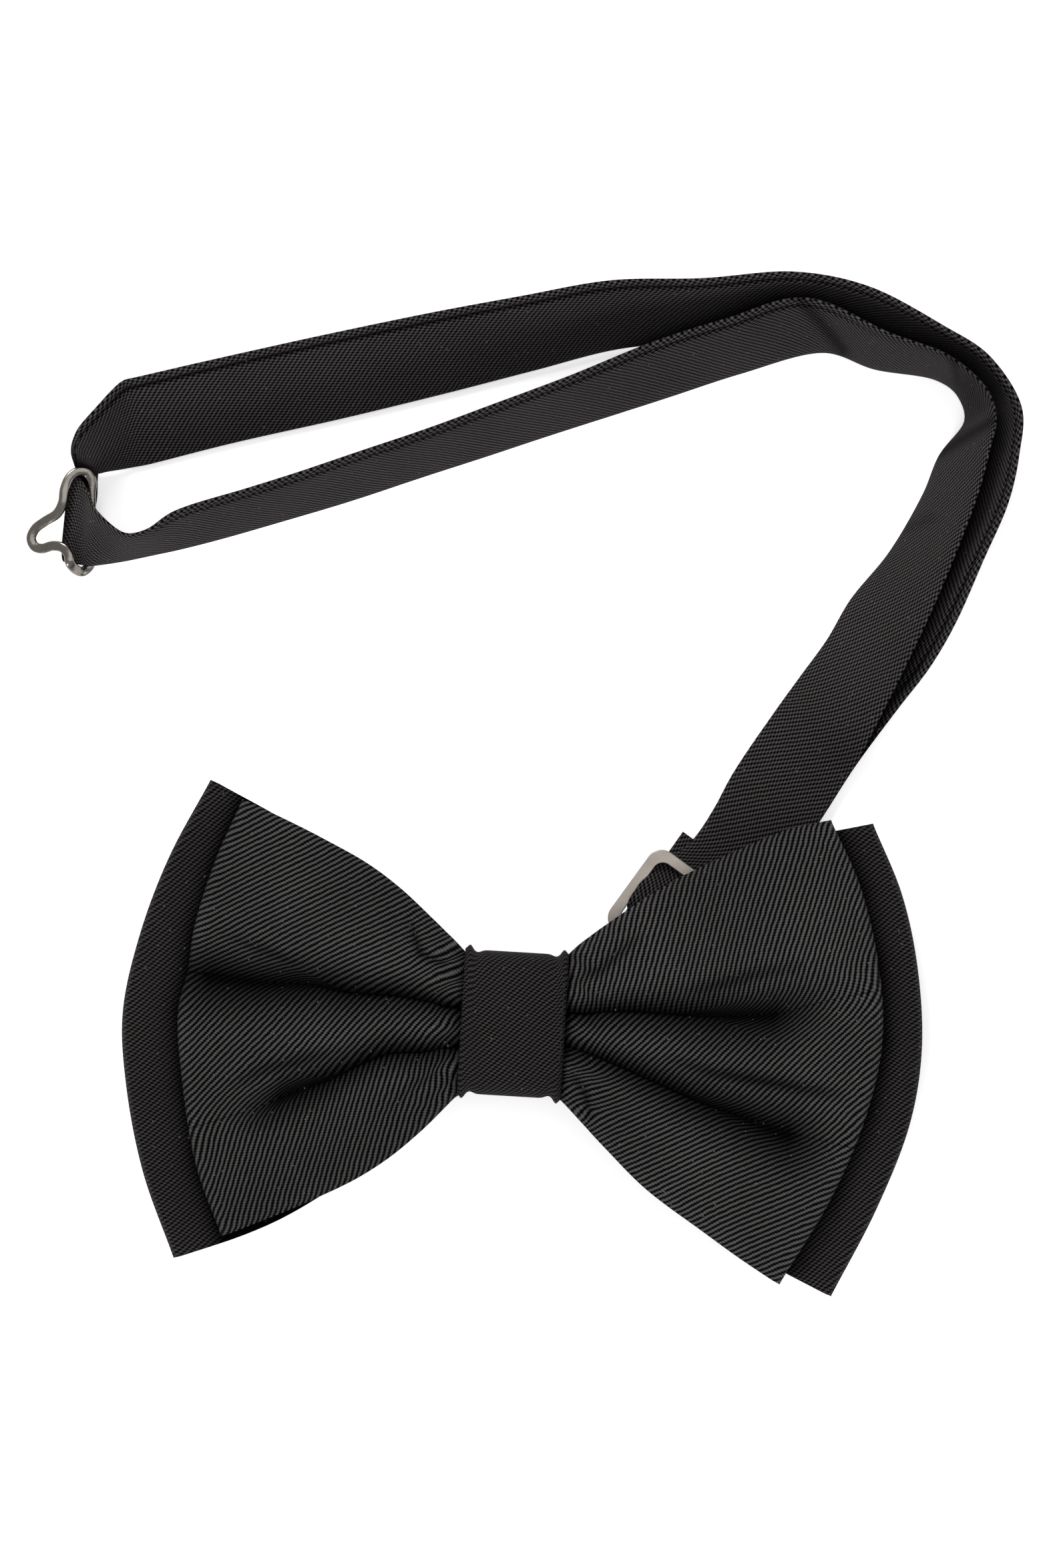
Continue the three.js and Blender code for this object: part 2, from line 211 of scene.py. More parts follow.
def colour_ramp(nodes, links, value, low, dark, high, light):
    ramp = nodes.new("ShaderNodeValToRGB")
    for stop, place, colour in zip(ramp.color_ramp.elements, (low, high), (dark, light)):
        stop.position = place
        stop.color = (*colour, 1)
    links.new(value, ramp.inputs[0])
    return ramp.outputs[0]


def mix_node(nodes):
    mix = nodes.new("ShaderNodeMix")
    mix.data_type = "RGBA"
    return mix


def bump_node(nodes, links, shader, height, strength, distance_m):
    bump = nodes.new("ShaderNodeBump")
    bump.inputs["Strength"].default_value = strength
    bump.inputs["Distance"].default_value = distance_m
    links.new(height, bump.inputs["Height"])
    links.new(bump.outputs[0], shader.inputs["Normal"])


def noise_node(nodes, links, place, scale, detail=2.0, distortion=0.0):
    noise = nodes.new("ShaderNodeTexNoise")
    noise.inputs["Scale"].default_value = scale
    noise.inputs["Detail"].default_value = detail
    noise.inputs["Distortion"].default_value = distortion
    links.new(place, noise.inputs["Vector"])
    return noise.outputs["Fac"]


def twill(name, dark, light, rib_pitch, yarn_pitch, depth_m, sheen, roughness, rib_share):
    """Diagonal twill: rounded ribs cut into slanting stitches, with stray bright fibres, and painted
    shade, from the weave's third value, that also dims the sheen and gloss.
    """
    material, nodes, links = new_material(name)
    shader = nodes["Principled BSDF"]
    weave = nodes.new("ShaderNodeAttribute")
    weave.attribute_name = "weave"
    split = nodes.new("ShaderNodeSeparateXYZ")
    links.new(weave.outputs["Vector"], split.inputs[0])
    flat = nodes.new("ShaderNodeCombineXYZ")
    links.new(split.outputs[0], flat.inputs[0])
    links.new(split.outputs[1], flat.inputs[1])

    noise = lambda scale, detail=2.0: noise_node(nodes, links, flat.outputs[0], scale, detail)
    calc = lambda operation, *values: math_node(nodes, links, operation, *values)
    wobble = calc("MULTIPLY", calc("SUBTRACT", noise(0.9), 0.5), 0.35 * rib_pitch)
    across = calc("ADD", split.outputs[0], wobble)
    rib_turn = calc("MULTIPLY", across, 2 * math.pi / rib_pitch)
    rib = calc("MULTIPLY_ADD", calc("COSINE", rib_turn), 0.5, 0.5)
    slant = calc("MULTIPLY", across, 2 * math.pi / (1.6 * rib_pitch))
    yarn_turn = calc("MULTIPLY_ADD", split.outputs[1], 2 * math.pi / yarn_pitch, slant)
    yarn = calc("MULTIPLY_ADD", calc("COSINE", yarn_turn), 0.5, 0.5)
    relief = calc("MULTIPLY_ADD", yarn, 1 - rib_share, calc("MULTIPLY", rib, rib_share))
    fibre = noise(5.5 / rib_pitch, 3.0)
    mixed = calc("MULTIPLY", relief, calc("MULTIPLY_ADD", fibre, 1.3, 0.35))

    threads = colour_ramp(nodes, links, mixed, 0.30, dark, 0.92, light)

    speck = nodes.new("ShaderNodeTexVoronoi")
    speck.inputs["Scale"].default_value = 0.55
    links.new(flat.outputs[0], speck.inputs["Vector"])
    lint = calc("MULTIPLY", calc("LESS_THAN", speck.outputs["Distance"], 0.07), 0.28)
    patch = calc("MULTIPLY_ADD", noise(0.06, 3.0), 0.5, 0.75)
    tone = mix_node(nodes)
    tone.blend_type = "MULTIPLY"
    tone.inputs["Factor"].default_value = 1.0
    shade = nodes.new("ShaderNodeCombineColor")
    for channel in range(3):
        links.new(patch, shade.inputs[channel])
    links.new(threads, tone.inputs["A"])
    links.new(shade.outputs[0], tone.inputs["B"])
    flecked = mix_node(nodes)
    links.new(lint, flecked.inputs["Factor"])
    shade_mix = mix_node(nodes)
    # Painted shade: the weave's third value mixes the cloth towards near black.
    painted_shade = calc("MINIMUM", calc("MAXIMUM", split.outputs[2], 0.0), 0.96)
    links.new(painted_shade, shade_mix.inputs["Factor"])
    links.new(tone.outputs["Result"], shade_mix.inputs["A"])
    shade_mix.inputs["B"].default_value = PAINTED_FOLD_SHADE
    links.new(shade_mix.outputs["Result"], flecked.inputs["A"])
    flecked.inputs["B"].default_value = LINT
    links.new(flecked.outputs["Result"], shader.inputs["Base Color"])

    rough = calc("MULTIPLY_ADD", fibre, 0.2, roughness - 0.1)
    links.new(rough, shader.inputs["Roughness"])
    bump_node(nodes, links, shader, mixed, 0.8, depth_m)
    # The sheen and gloss fade out in the painted shade as well.
    links.new(calc("MULTIPLY_ADD", painted_shade, -sheen, sheen), shader.inputs["Sheen Weight"])
    shader.inputs["Sheen Roughness"].default_value = 0.45
    gloss = calc("MULTIPLY_ADD", painted_shade, -CLOTH_SPECULAR, CLOTH_SPECULAR)
    links.new(gloss, shader.inputs["Specular IOR Level"])
    return material


def metal(name, colour, roughness, grain, scale):
    """Plated wire with fine tumbling marks and darker, worn patches."""
    material, nodes, links = new_material(name)
    shader = nodes["Principled BSDF"]
    place = nodes.new("ShaderNodeTexCoord").outputs["Object"]
    fine = noise_node(nodes, links, place, scale, 4)
    broad = noise_node(nodes, links, place, scale / 14)
    blend = math_node(nodes, links, "MULTIPLY_ADD", fine, 0.5,
                      math_node(nodes, links, "MULTIPLY", broad, 0.5))
    worn = [0.72 * c for c in colour]
    plate = colour_ramp(nodes, links, blend, 0.3, worn, 0.65, colour)
    links.new(plate, shader.inputs["Base Color"])
    rough = math_node(nodes, links, "MULTIPLY_ADD", fine, grain, roughness)
    links.new(rough, shader.inputs["Roughness"])
    bump_node(nodes, links, shader, fine, 0.35, 0.00004)
    shader.inputs["Metallic"].default_value = 1.0
    return material


def felt(name, dark, light):
    """Non-woven interlining: matted fibres."""
    material, nodes, links = new_material(name)
    shader = nodes["Principled BSDF"]
    place = nodes.new("ShaderNodeTexCoord").outputs["Object"]
    fibres = noise_node(nodes, links, place, 2600, 6, 1.5)
    matted = colour_ramp(nodes, links, fibres, 0.35, dark, 1.0, light)
    links.new(matted, shader.inputs["Base Color"])
    bump_node(nodes, links, shader, fibres, 1.0, 0.0001)
    shader.inputs["Roughness"].default_value = 0.95
    return material


RIB_TWILL = twill("rib_twill_cloth", (0.0004, 0.0004, 0.0004), (0.124, 0.120, 0.118),
                  0.72, 0.40, 0.00030, 0.01, 0.75, 0.74)
BAND_TWILL = twill("band_twill_cloth", (0.0006, 0.0005, 0.0005), (0.092, 0.082, 0.083),
                   0.62, 0.50, 0.00020, 0.01, 0.85, 0.55)
PLAIN_TWILL = twill("plain_twill_cloth", (0.0004, 0.0003, 0.0003), (0.056, 0.050, 0.050),
                    0.62, 0.50, 0.00020, 0.01, 0.85, 0.55)
THREAD = twill("sewing_thread", (0.003, 0.003, 0.003), (0.06, 0.055, 0.054),
               0.25, 0.2, 0.00004, 0.02, 0.7, 0.7)
NICKEL = metal("satin_nickel_plate", (0.40, 0.36, 0.325), 0.32, 0.18, 5200)
GUNMETAL = metal("gunmetal_plate", (0.24, 0.22, 0.20), 0.12, 0.12, 3000)
FELT = felt("felted_interlining", (0.45, 0.43, 0.38), (0.78, 0.76, 0.70))

# ---- The neckband: one band from the slide's sewn end, round the hook, to the catch ----
# Stations are (raised x, raised y, resting x, resting y, resting z[, raised z]).
INNER_START = [
    (33.0, -20.3, 21.1, -11.7, 2.1, 2.1), (38.4, -16.0, 26.1, -7.9, 2.1, 2.1),
    (44.0, -6.2, 31.8, 2.0, 2.1, 2.1),
]
INNER_RUN = [
    (49.9, 2.6, 37.5, 10.4, 2.1, 2.1), (54.5, 11.7, 41.9, 16.5, 2.0), (57.1, 17.0, 45.7, 21.7, 1.6),
    (60.7, 24.6, 49.3, 27.8, 1.0), (64.7, 34.1, 55.2, 35.0, 0.6), (68.3, 43.9, 60.3, 43.8, 0.6),
    (70.1, 50.7, 62.8, 49.6, 0.6), (70.9, 55.2, 66.6, 54.7, 0.6), (69.5, 59.2, 65.6, 58.5, 0.6),
    (64.3, 63.9, 62.1, 61.1, 0.6), (54.9, 67.7, 53.1, 62.6, 0.6), (42.6, 72.9, 45.0, 65.1, 0.6),
    (30.3, 69.8, 32.7, 61.9, 0.6), (19.2, 66.2, 21.7, 58.3, 0.6), (6.4, 61.0, 8.6, 54.1, 0.6),
    (-9.3, 55.1, -7.4, 48.9, 0.6), (-25.3, 49.5, -23.5, 43.6, 0.6), (-41.2, 44.3, -39.6, 38.7, 0.6),
    (-52.5, 40.7, -51.7, 35.5, 0.6), (-56.5, 38.1, -56.4, 34.5, 0.6), (-59.9, 37.6, -60.7, 33.6, 0.7),
]
HOOK_TURN = [
    (-64.1, 41.1, -65.0, 32.9, 2.2, 13.0), (-65.6, 44.2, -66.6, 33.0, 3.0, 6.4),
    (-66.9, 46.1, -68.2, 33.3, 3.1, 2.6), (-68.1, 46.5, -69.3, 33.5, 1.8, 2.0),
    (-67.5, 46.8, -68.2, 34.4, 0.6, 1.5), (-67.7, 48.0, -64.6, 41.6, 0.5, 1.5),
    (-68.2, 50.2, -64.2, 46.3, 0.5, 4.8), (-67.0, 53.1, -63.6, 47.0, 0.6, 12.0),
]
OUTER_RUN = [
    (-64.0, 56.7, -60.6, 47.5, 0.6), (-61.3, 59.8, -58.2, 47.9, 0.6), (-60.1, 60.8, -56.6, 48.2, 0.6),
    (-58.4, 61.2, -54.6, 48.7, 0.6), (-46.1, 64.0, -43.6, 51.5, 0.6),
    (-30.3, 67.5, -27.5, 55.1, 0.6), (-13.7, 70.9, -11.5, 59.0, 0.6), (-0.4, 73.3, 1.6, 62.4, 0.6),
    (12.9, 75.6, 14.1, 65.6, 0.6), (26.7, 75.9, 27.7, 67.0, 0.6), (40.8, 76.8, 39.8, 68.8, 0.6),
    (51.9, 74.6, 49.3, 67.8, 0.6), (62.9, 68.6, 60.4, 63.8, 0.6), (69.9, 64.0, 66.9, 60.2, 0.6),
    (74.5, 56.7, 69.9, 55.2, 0.6), (74.2, 49.6, 68.1, 48.7, 0.6), (72.7, 42.4, 65.1, 42.0, 0.6),
    (69.1, 33.9, 60.3, 34.4, 0.6), (64.9, 24.1, 53.5, 28.3, 0.6), (61.1, 17.5, 49.0, 22.4, 0.6),
    (56.4, 11.3, 43.6, 17.5, 0.55), (50.1, 2.7, 37.7, 10.5, 0.5, 0.5),
]
TAIL_PATH = [
    (43.85, 6.55), (37.7, -3.0), (31.6, -12.6), (24.0, -20.1), (18.2, -27.4), (12.2, -32.0),
    (5.6, -34.2), (-1.6, -35.5), (-8.4, -37.8), (-17.5, -43.0), (-24.5, -46.5),
]
TAIL_DIRECTION = np.array([-0.894, -0.447])
TURN_BACK = [(0.5, 0.5), (1.3, 0.7), (1.9, 1.1), (2.1, 1.8), (1.8, 2.6), (0.9, 3.1), (-1.5, 3.0),
             (-5, 1.9), (-11, 1.6)]
# The sewn end: y and z in the slide's frame, then how far it reaches to the left of centre.
END_WRAP = [(6.9, 3.1, 7.7), (4.6, 3.1, 7.8), (2.6, 4.3, 7.9), (1.1, 5.1, 8.2), (-0.6, 5.2, 8.2),
            (-2.2, 4.8, 8.1), (-3.2, 3.4, 7.7), (-3.2, 1.9, 7.4), (-2.4, 1.15, 7.35), (0.5, 1.15, 7.35),
            (10.9, 1.2, 7.5)]


def edges_of(station):
    """A station's raised and resting edges; the strap's width sets a height left out."""
    rx, ry, lx, ly, lz = station[:5]
    rise = math.sqrt(max(0.0, STRAP_WIDTH ** 2 - (rx - lx) ** 2 - (ry - ly) ** 2))
    rz = station[5] if len(station) > 5 else lz + rise
    return (rx, ry, rz, lx, ly, lz)


def tail_stations():
    path = catmull_rom(TAIL_PATH, [3] * (len(TAIL_PATH) - 1))
    along = directions(np.gradient(path, axis=0))
    rows = [(point, way, 0.5) for point, way in zip(path, along)]
    rows += [(path[-1] + reach * TAIL_DIRECTION, TAIL_DIRECTION, z) for reach, z in TURN_BACK]
    stations = []
    for point, way, z in rows[2:]:
        side = np.array([-way[1], way[0]]) * STRAP_WIDTH / 2
        stations.append((*(point + side), *(point - side), z, z))
    return stations


def band_skin(edges, thickness, seam=None):
    """A flat cloth tube between two edge curves, with a pressed seam near its raised edge and painted
    shade in the seam's groove.
    """
    high, low = edges[:, :3], edges[:, 3:]
    across = high - low
    width = np.linalg.norm(across, axis=1)[:, None]
    across = across / width
    middle = (high + low) / 2
    along = np.gradient(middle, axis=0)
    lift = directions(np.cross(across, along))
    length = run_along(middle)
    half = 26
    u = np.sin(np.linspace(-math.pi / 2, math.pi / 2, half))
    profile = 0.5 * (1 - np.abs(u) ** 6) ** 0.5
    rows, weave = [], []
    for i in range(len(edges)):
        w = width[i, 0]
        t = u * w / 2
        pressed = 0.0 if seam is None else seam[i]
        groove = 0.34 * pressed * np.exp(-((t - (w / 2 - SEAM_INSET)) / 0.24) ** 2)
        roll = 0.16 * pressed * np.exp(-((t - (w / 2 - 0.5 * SEAM_INSET)) / 0.6) ** 2)
        ripple = 0.24 * soft_noise(length[i] + 0 * t, 1.6 * t, 15.0, 3) * profile
        top = thickness * profile - groove + roll + ripple
        bottom = -thickness * profile + groove - roll + ripple
        ring_t = np.concatenate([t, t[::-1]])
        ring_n = np.concatenate([top, bottom[::-1]])
        rows.append(middle[i] + ring_t[:, None] * across[i] + ring_n[:, None] * lift[i])
        ribs, yarn = diagonal(np.full(2 * half, length[i]), ring_t, 48)
        # Painted shade along the seam's groove, kept as the weave's third value.
        crease = 0.9 * np.concatenate([groove, groove[::-1]]) / 0.34
        weave.append(np.stack([ribs, yarn, crease], axis=-1))
    points, pattern = np.array(rows), np.array(weave)
    return points, pattern, length


def capped(points, pattern, first, last):
    """A length of the band as one closed skin."""
    cut, weave = points[first:last + 1], pattern[first:last + 1]
    rows, columns = cut.shape[:2]
    faces = grid_faces(rows, columns, wrap_columns=True)
    half = columns // 2
    for start in (0, (rows - 1) * columns):
        for c in range(half - 1):
            face = (start + c, start + columns - 1 - c, start + columns - 2 - c, start + c + 1)
            faces.append(face if start == 0 else face[::-1])
    return cut.reshape(-1, 3), weave.reshape(-1, 3), faces, columns


def strap_piece(name, cut):
    points, weave, faces, ring = cut
    obj = make_mesh(name, points, faces, BAND_TWILL, weave)
    last = len(points) - ring
    for edge in obj.data.edges:
        a, b = edge.vertices
        edge.use_edge_sharp = max(a, b) < ring or min(a, b) >= last
    return obj


def span_samples(stations, step):
    mids = np.array([((s[0] + s[3]) / 2, (s[1] + s[4]) / 2, (s[2] + s[5]) / 2) for s in stations])
    gaps = np.linalg.norm(np.diff(mids, axis=0), axis=1)
    return [max(2, int(round(g / step))) for g in gaps]


# Folds pressed across the inner run where it rounds the far bend, as lines in plan, with
# their half widths and depths; each is pressed down and given painted shade.
STRAP_FOLDS = [
    ([(41.3, 72.9), (45.0, 69.1), (48.2, 65.3)], 1.0, 0.6),
    ([(63.8, 65.1), (64.7, 63.3), (65.4, 60.4)], 0.8, 0.5),
    ([(62.3, 49.6), (66.0, 51.9), (70.4, 54.6)], 0.9, 0.6),
    ([(66.4, 60.0), (68.2, 57.2)], 2.4, 0.45),
    ([(58.0, 38.6), (61.5, 40.0)], 0.9, 0.25),
]


def seam_strength(stations, spans):
    """The seam shows along the outer run and on the inner run's first stretch from the hook."""
    inner, turn = len(INNER_START), len(INNER_START) + len(INNER_RUN)
    strength = [0.0] * len(stations)
    for i in range(inner + 11, turn - 2):
        strength[i] = 1.0
    for i in range(turn + len(HOOK_TURN) - 2, len(stations)):
        strength[i] = 1.0
    marks = running_total(spans)
    return np.interp(np.arange(marks[-1] + 1), marks, strength)


def shade_neckband(points, pattern, edges, spans):
    """Paints shade on the band inside its turn at the hook and in its folds, which it also presses
    down, and paints the inner run's shadow on the outer run under it.
    """
    marks = running_total(spans)
    first_turn = len(INNER_START) + len(INNER_RUN)
    outer_start = first_turn + len(HOOK_TURN)
    row = np.arange(len(points))[:, None]
    shade = pattern[..., 2]
    inside = smoothstep(row, marks[first_turn + 2], marks[first_turn + 3])
    inside = inside * (1 - smoothstep(row, marks[outer_start - 3], marks[outer_start - 1]))
    # Painted shade inside the band's turn at the hook.
    shade = np.maximum(shade, 0.92 * inside)
    plan = points[..., :2]
    inner = row < marks[first_turn - 1]
    for line, width, depth in STRAP_FOLDS:
        gap, _ = distance_to(line, plan)
        fold = np.exp(-(gap / width) ** 2) * inner
        # Painted shade in the fold.
        shade = np.maximum(shade, 0.6 * min(1.0, 1.6 * depth) * fold)
        points[..., 2] -= 0.5 * depth * fold
    # Painted shadow of the inner run's raised edge on the outer run beside it.
    outer = (row > marks[outer_start]) & (row < marks[-1] - sum(spans[-25:]))
    edge = edges[marks[len(INNER_START)]:marks[first_turn - 1]:6, :2]
    gap, _ = distance_to(edge, plan)
    under = 0.95 * np.exp(-(gap / 1.5) ** 1.5) * outer * (plan[..., 0] > 14)
    pattern[..., 2] = np.maximum(shade, under)


def build_neckband():
    stations = [edges_of(s) for s in INNER_START + INNER_RUN + HOOK_TURN + OUTER_RUN]
    stations += [edges_of(s) for s in tail_stations()]
    spans = span_samples(stations, 0.75)
    edges = catmull_rom(stations, spans)
    points, pattern, length = band_skin(edges, STRAP_THICKNESS, seam_strength(stations, spans))
    shade_neckband(points, pattern, edges, spans)
    middle = (edges[:, :2] + edges[:, 3:5]) / 2
    reach = (middle - np.array(FOLD_POINT)) @ np.array(FOLD_ALONG)
    near_fold = np.abs(reach) < FOLD_REACH
    close = np.linalg.norm(middle - np.array(FOLD_POINT), axis=1) < 3 * FOLD_REACH
    marks = np.flatnonzero(near_fold & close)
    first_group = marks[marks < len(edges) // 2]
    second_group = marks[marks >= len(edges) // 2]
    a0, a1 = first_group[0], first_group[-1]
    b0, b1 = second_group[0], second_group[-1]
    last = len(edges) - 1

    pieces = {
        "inner_start_strap": (0, a0),
        "inner_fold_strap": (a0, a1),
        "loop_strap": (a1, b0),
        "outer_fold_strap": (b0, b1),
        "tail_strap": (b1, last),
    }
    made = {}
    for name, (first, final) in pieces.items():
        made[name] = strap_piece(name, capped(points, pattern, first, final))
    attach(made["inner_start_strap"], "band")
    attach(made["tail_strap"], "band")
    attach(made["loop_strap"], "loop")
    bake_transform(made["inner_fold_strap"])
    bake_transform(made["outer_fold_strap"])
    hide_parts("neckband_inner_start")
    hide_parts("neckband_tail")
    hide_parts("neckband_loop")


def build_sewn_end():
    stations = [(STRAP_WIDTH / 2, y, z, -left, y, z) for y, z, left in END_WRAP]
    edges = catmull_rom(stations, span_samples(stations, 0.5))
    world = np.hstack([turned(edges[:, :3], SLIDE_CENTRE, SLIDE_TURN),
                       turned(edges[:, 3:], SLIDE_CENTRE, SLIDE_TURN)])
    points, pattern, length = band_skin(world, SEWN_END_THICKNESS)
    obj = strap_piece("sewn_end_strap", capped(points, pattern, 0, len(edges) - 1))
    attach(obj, "slide")
    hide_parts("neckband_sewn_end")


# ---- The bow, in its own frame: u along the bow, v across it ----
FRONT_OUTLINE = {
    -1: {"top": [(-7.2, 9.6), (-8.6, 11.1), (-13.5, 15.5), (-18.6, 19.8), (-23.6, 23.1),
                 (-30.1, 26.3), (-42.3, 31.5)],
         "fold": [(-41.6, -33.9), (-45.9, -24.0), (-48.7, -12.1), (-50.1, -0.7), (-49.0, 5.4),
                  (-48.4, 12.0), (-45.9, 22.0), (-42.3, 31.5)],
         "bottom": [(-7.2, -9.8), (-8.2, -10.8), (-13.1, -16.3), (-17.6, -20.6), (-22.2, -24.0),
                    (-31.5, -29.1), (-36.5, -31.5), (-41.6, -33.9)]},
    1: {"top": [(7.2, 9.6), (8.2, 11.3), (14.6, 16.9), (23.2, 23.2), (32.0, 28.1), (39.0, 31.6),
                (45.6, 33.6)],
        "fold": [(42.0, -36.2), (49.0, -23.0), (53.6, -10.0), (55.3, 1.2), (54.0, 12.5),
                 (50.6, 24.0), (45.6, 33.6)],
        "bottom": [(7.2, -9.8), (8.4, -10.7), (15.0, -17.1), (21.5, -23.0), (30.6, -29.1),
                   (36.0, -32.6), (42.0, -36.2)]},
}
REAR_OUTLINE = {
    -1: {"top": [(-7.2, 8.5), (-13.5, 13.6), (-23.6, 21.0), (-34.0, 27.6), (-47.3, 34.1)],
         "fold": [(-48.6, -37.7), (-54.0, -25.0), (-57.3, -12.0), (-58.4, -1.5), (-56.6, 10.0),
                  (-52.9, 22.0), (-47.3, 34.1)],
         "bottom": [(-7.2, -8.5), (-15.0, -16.2), (-22.6, -23.4), (-31.5, -29.9), (-38.0, -33.4),
                    (-48.6, -37.7)]},
    1: {"top": [(7.2, 8.5), (15.0, 15.4), (25.0, 22.6), (38.0, 29.4), (52.0, 33.4)],
        "fold": [(49.9, -37.6), (56.0, -24.0), (60.2, -11.0), (61.3, 0.0), (60.0, 12.0),
                 (57.0, 23.0), (52.0, 33.4)],
        "bottom": [(7.2, -8.5), (16.0, -16.2), (26.0, -24.5), (38.0, -32.0), (49.9, -37.6)]},
}


def resampled(control, count):
    dense = catmull_rom(control, [24] * (len(control) - 1))
    run = run_along(dense)
    at = np.linspace(0, run[-1], count)
    return np.stack([np.interp(at, run, dense[:, k]) for k in range(2)], axis=-1)


# The two pleats of each front wing, lower one first: where each crease runs, as distance out
# from the knot and height; then its depth along the way. It is a sharp tuck near the knot and
# opens into a soft valley further out.
PLEATS = {
    -1: [
        ([(7.2, -2.5), (12.8, -3.8), (16.2, -4.1), (19.1, -4.6), (21.9, -5.9), (27.6, -9.2),
          (33.2, -11.8), (37.2, -14.1), (51.0, -19.5)],
         [(7.2, 3.6), (18.0, 3.4), (28.0, 2.5), (37.0, 1.1), (45.0, 0.0)]),
        ([(7.2, 2.5), (16.7, 4.3), (24.3, 4.4), (31.3, 4.9), (38.3, 4.7), (45.9, 5.2),
          (51.0, 5.4)],
         [(7.2, 3.6), (20.0, 3.8), (32.0, 3.0), (44.0, 1.7), (50.0, 1.1)]),
    ],
    1: [
        ([(7.2, -1.6), (15.8, -4.1), (22.2, -6.5), (28.6, -9.0), (35.0, -11.1), (41.4, -13.2),
          (47.7, -14.4), (56.0, -15.8)],
         [(7.2, 3.6), (20.0, 3.6), (34.0, 2.9), (44.0, 1.2), (51.0, 0.0)]),
        ([(7.2, 2.8), (17.2, 4.1), (27.8, 3.9), (34.1, 4.0), (40.3, 4.6), (46.5, 6.5),
          (56.0, 9.0)],
         [(7.2, 3.4), (20.0, 3.4), (32.0, 2.4), (42.0, 1.1), (50.0, 0.0)]),
    ],
}
# Softer folds that the pleats pull in the cloth: their lines, half widths and depths; each is pressed
# in and given painted shade.
SOFT_FOLDS = {
    -1: [([(-46.5, 12.0), (-38.6, 9.4), (-32.6, 7.3), (-27.0, 5.8)], 1.5, 0.8),
         ([(-22.5, -4.6), (-30.6, -6.7), (-37.5, -8.9), (-43.5, -13.0)], 1.7, 0.8),
         ([(-10.0, 8.6), (-14.5, 10.0), (-16.5, 15.5)], 1.0, 0.9),
         ([(-9.0, -7.0), (-14.0, -9.5), (-22.0, -18.0)], 1.5, 0.5)],
    1: [([(22.0, 5.3), (29.5, 7.7), (35.6, 9.9), (44.0, 12.0)], 1.6, 0.8),
        ([(21.5, -2.9), (30.2, -5.1), (37.8, -5.9), (44.7, -6.8), (51.0, -7.5)], 1.5, 1.0),
        ([(9.0, 7.4), (13.0, 9.5), (19.0, 15.5)], 1.2, 0.7),
        ([(8.6, -6.0), (11.5, -9.0), (13.0, -14.5)], 1.0, 0.8)],
}
RIB_ANGLES = {-1: (76.0, 49.0, 30.0), 1: (27.0, 46.0, 77.0)}
LOBE_ROWS = (58, 46, 62)
FRONT_COLUMNS = 130


def along_line(table, at):
    """A smooth reading of (position, value) pairs."""
    x = np.array(table)[:, 0]
    fine = np.linspace(x[0], x[-1], 200)
    curve = catmull_rom(table, [20] * (len(table) - 1))
    return np.interp(np.clip(at, x[0], x[-1]), fine, np.interp(fine, curve[:, 0], curve[:, 1]))


def distance_to(line, uv):
    """Distance in plan from points to a polyline, and how far along it they fall, 0 to 1."""
    line = np.array(line, dtype=float)
    best = np.full(uv.shape[:2], 1e9)
    share = np.zeros(uv.shape[:2])
    count = len(line) - 1
    for i in range(count):
        way = line[i + 1] - line[i]
        t = np.clip(((uv - line[i]) @ way) / (way @ way), 0, 1)
        gap = np.linalg.norm(uv - line[i] - t[..., None] * way, axis=-1)
        share = np.where(gap < best, (i + t) / count, share)
        best = np.minimum(best, gap)
    return best, share


def pleat_fraction(side, pleat, s):
    """The fraction a up the wing at which a crease crosses each column."""
    fine = np.linspace(0, 1, 121)
    a = np.broadcast_to(fine[:, None], (121, len(s)))
    uv = wing_points(FRONT_OUTLINE[side], s, a)
    gap = uv[..., 1] - along_line(PLEATS[side][pleat][0], np.abs(uv[..., 0]))
    return np.array([np.interp(0.0, gap[:, c], fine) for c in range(len(s))])


def lobe_rows(side, lobe, s):
    """The fraction a up the wing of each row of one lobe, with rows crowded at its edges."""
    edges = [0 * s] + [pleat_fraction(side, pleat, s) for pleat in (0, 1)] + [0 * s + 1]
    t = np.linspace(0, 1, LOBE_ROWS[lobe])
    t = (t - 0.13 * np.sin(2 * math.pi * t))[:, None]
    return edges[lobe] + (edges[lobe + 1] - edges[lobe]) * t


def tuck(u):
    """How sharp a crease is at this distance out: 1 tucked under, 0 a soft valley."""
    return 1 - smoothstep(u, 20.0, 42.0)


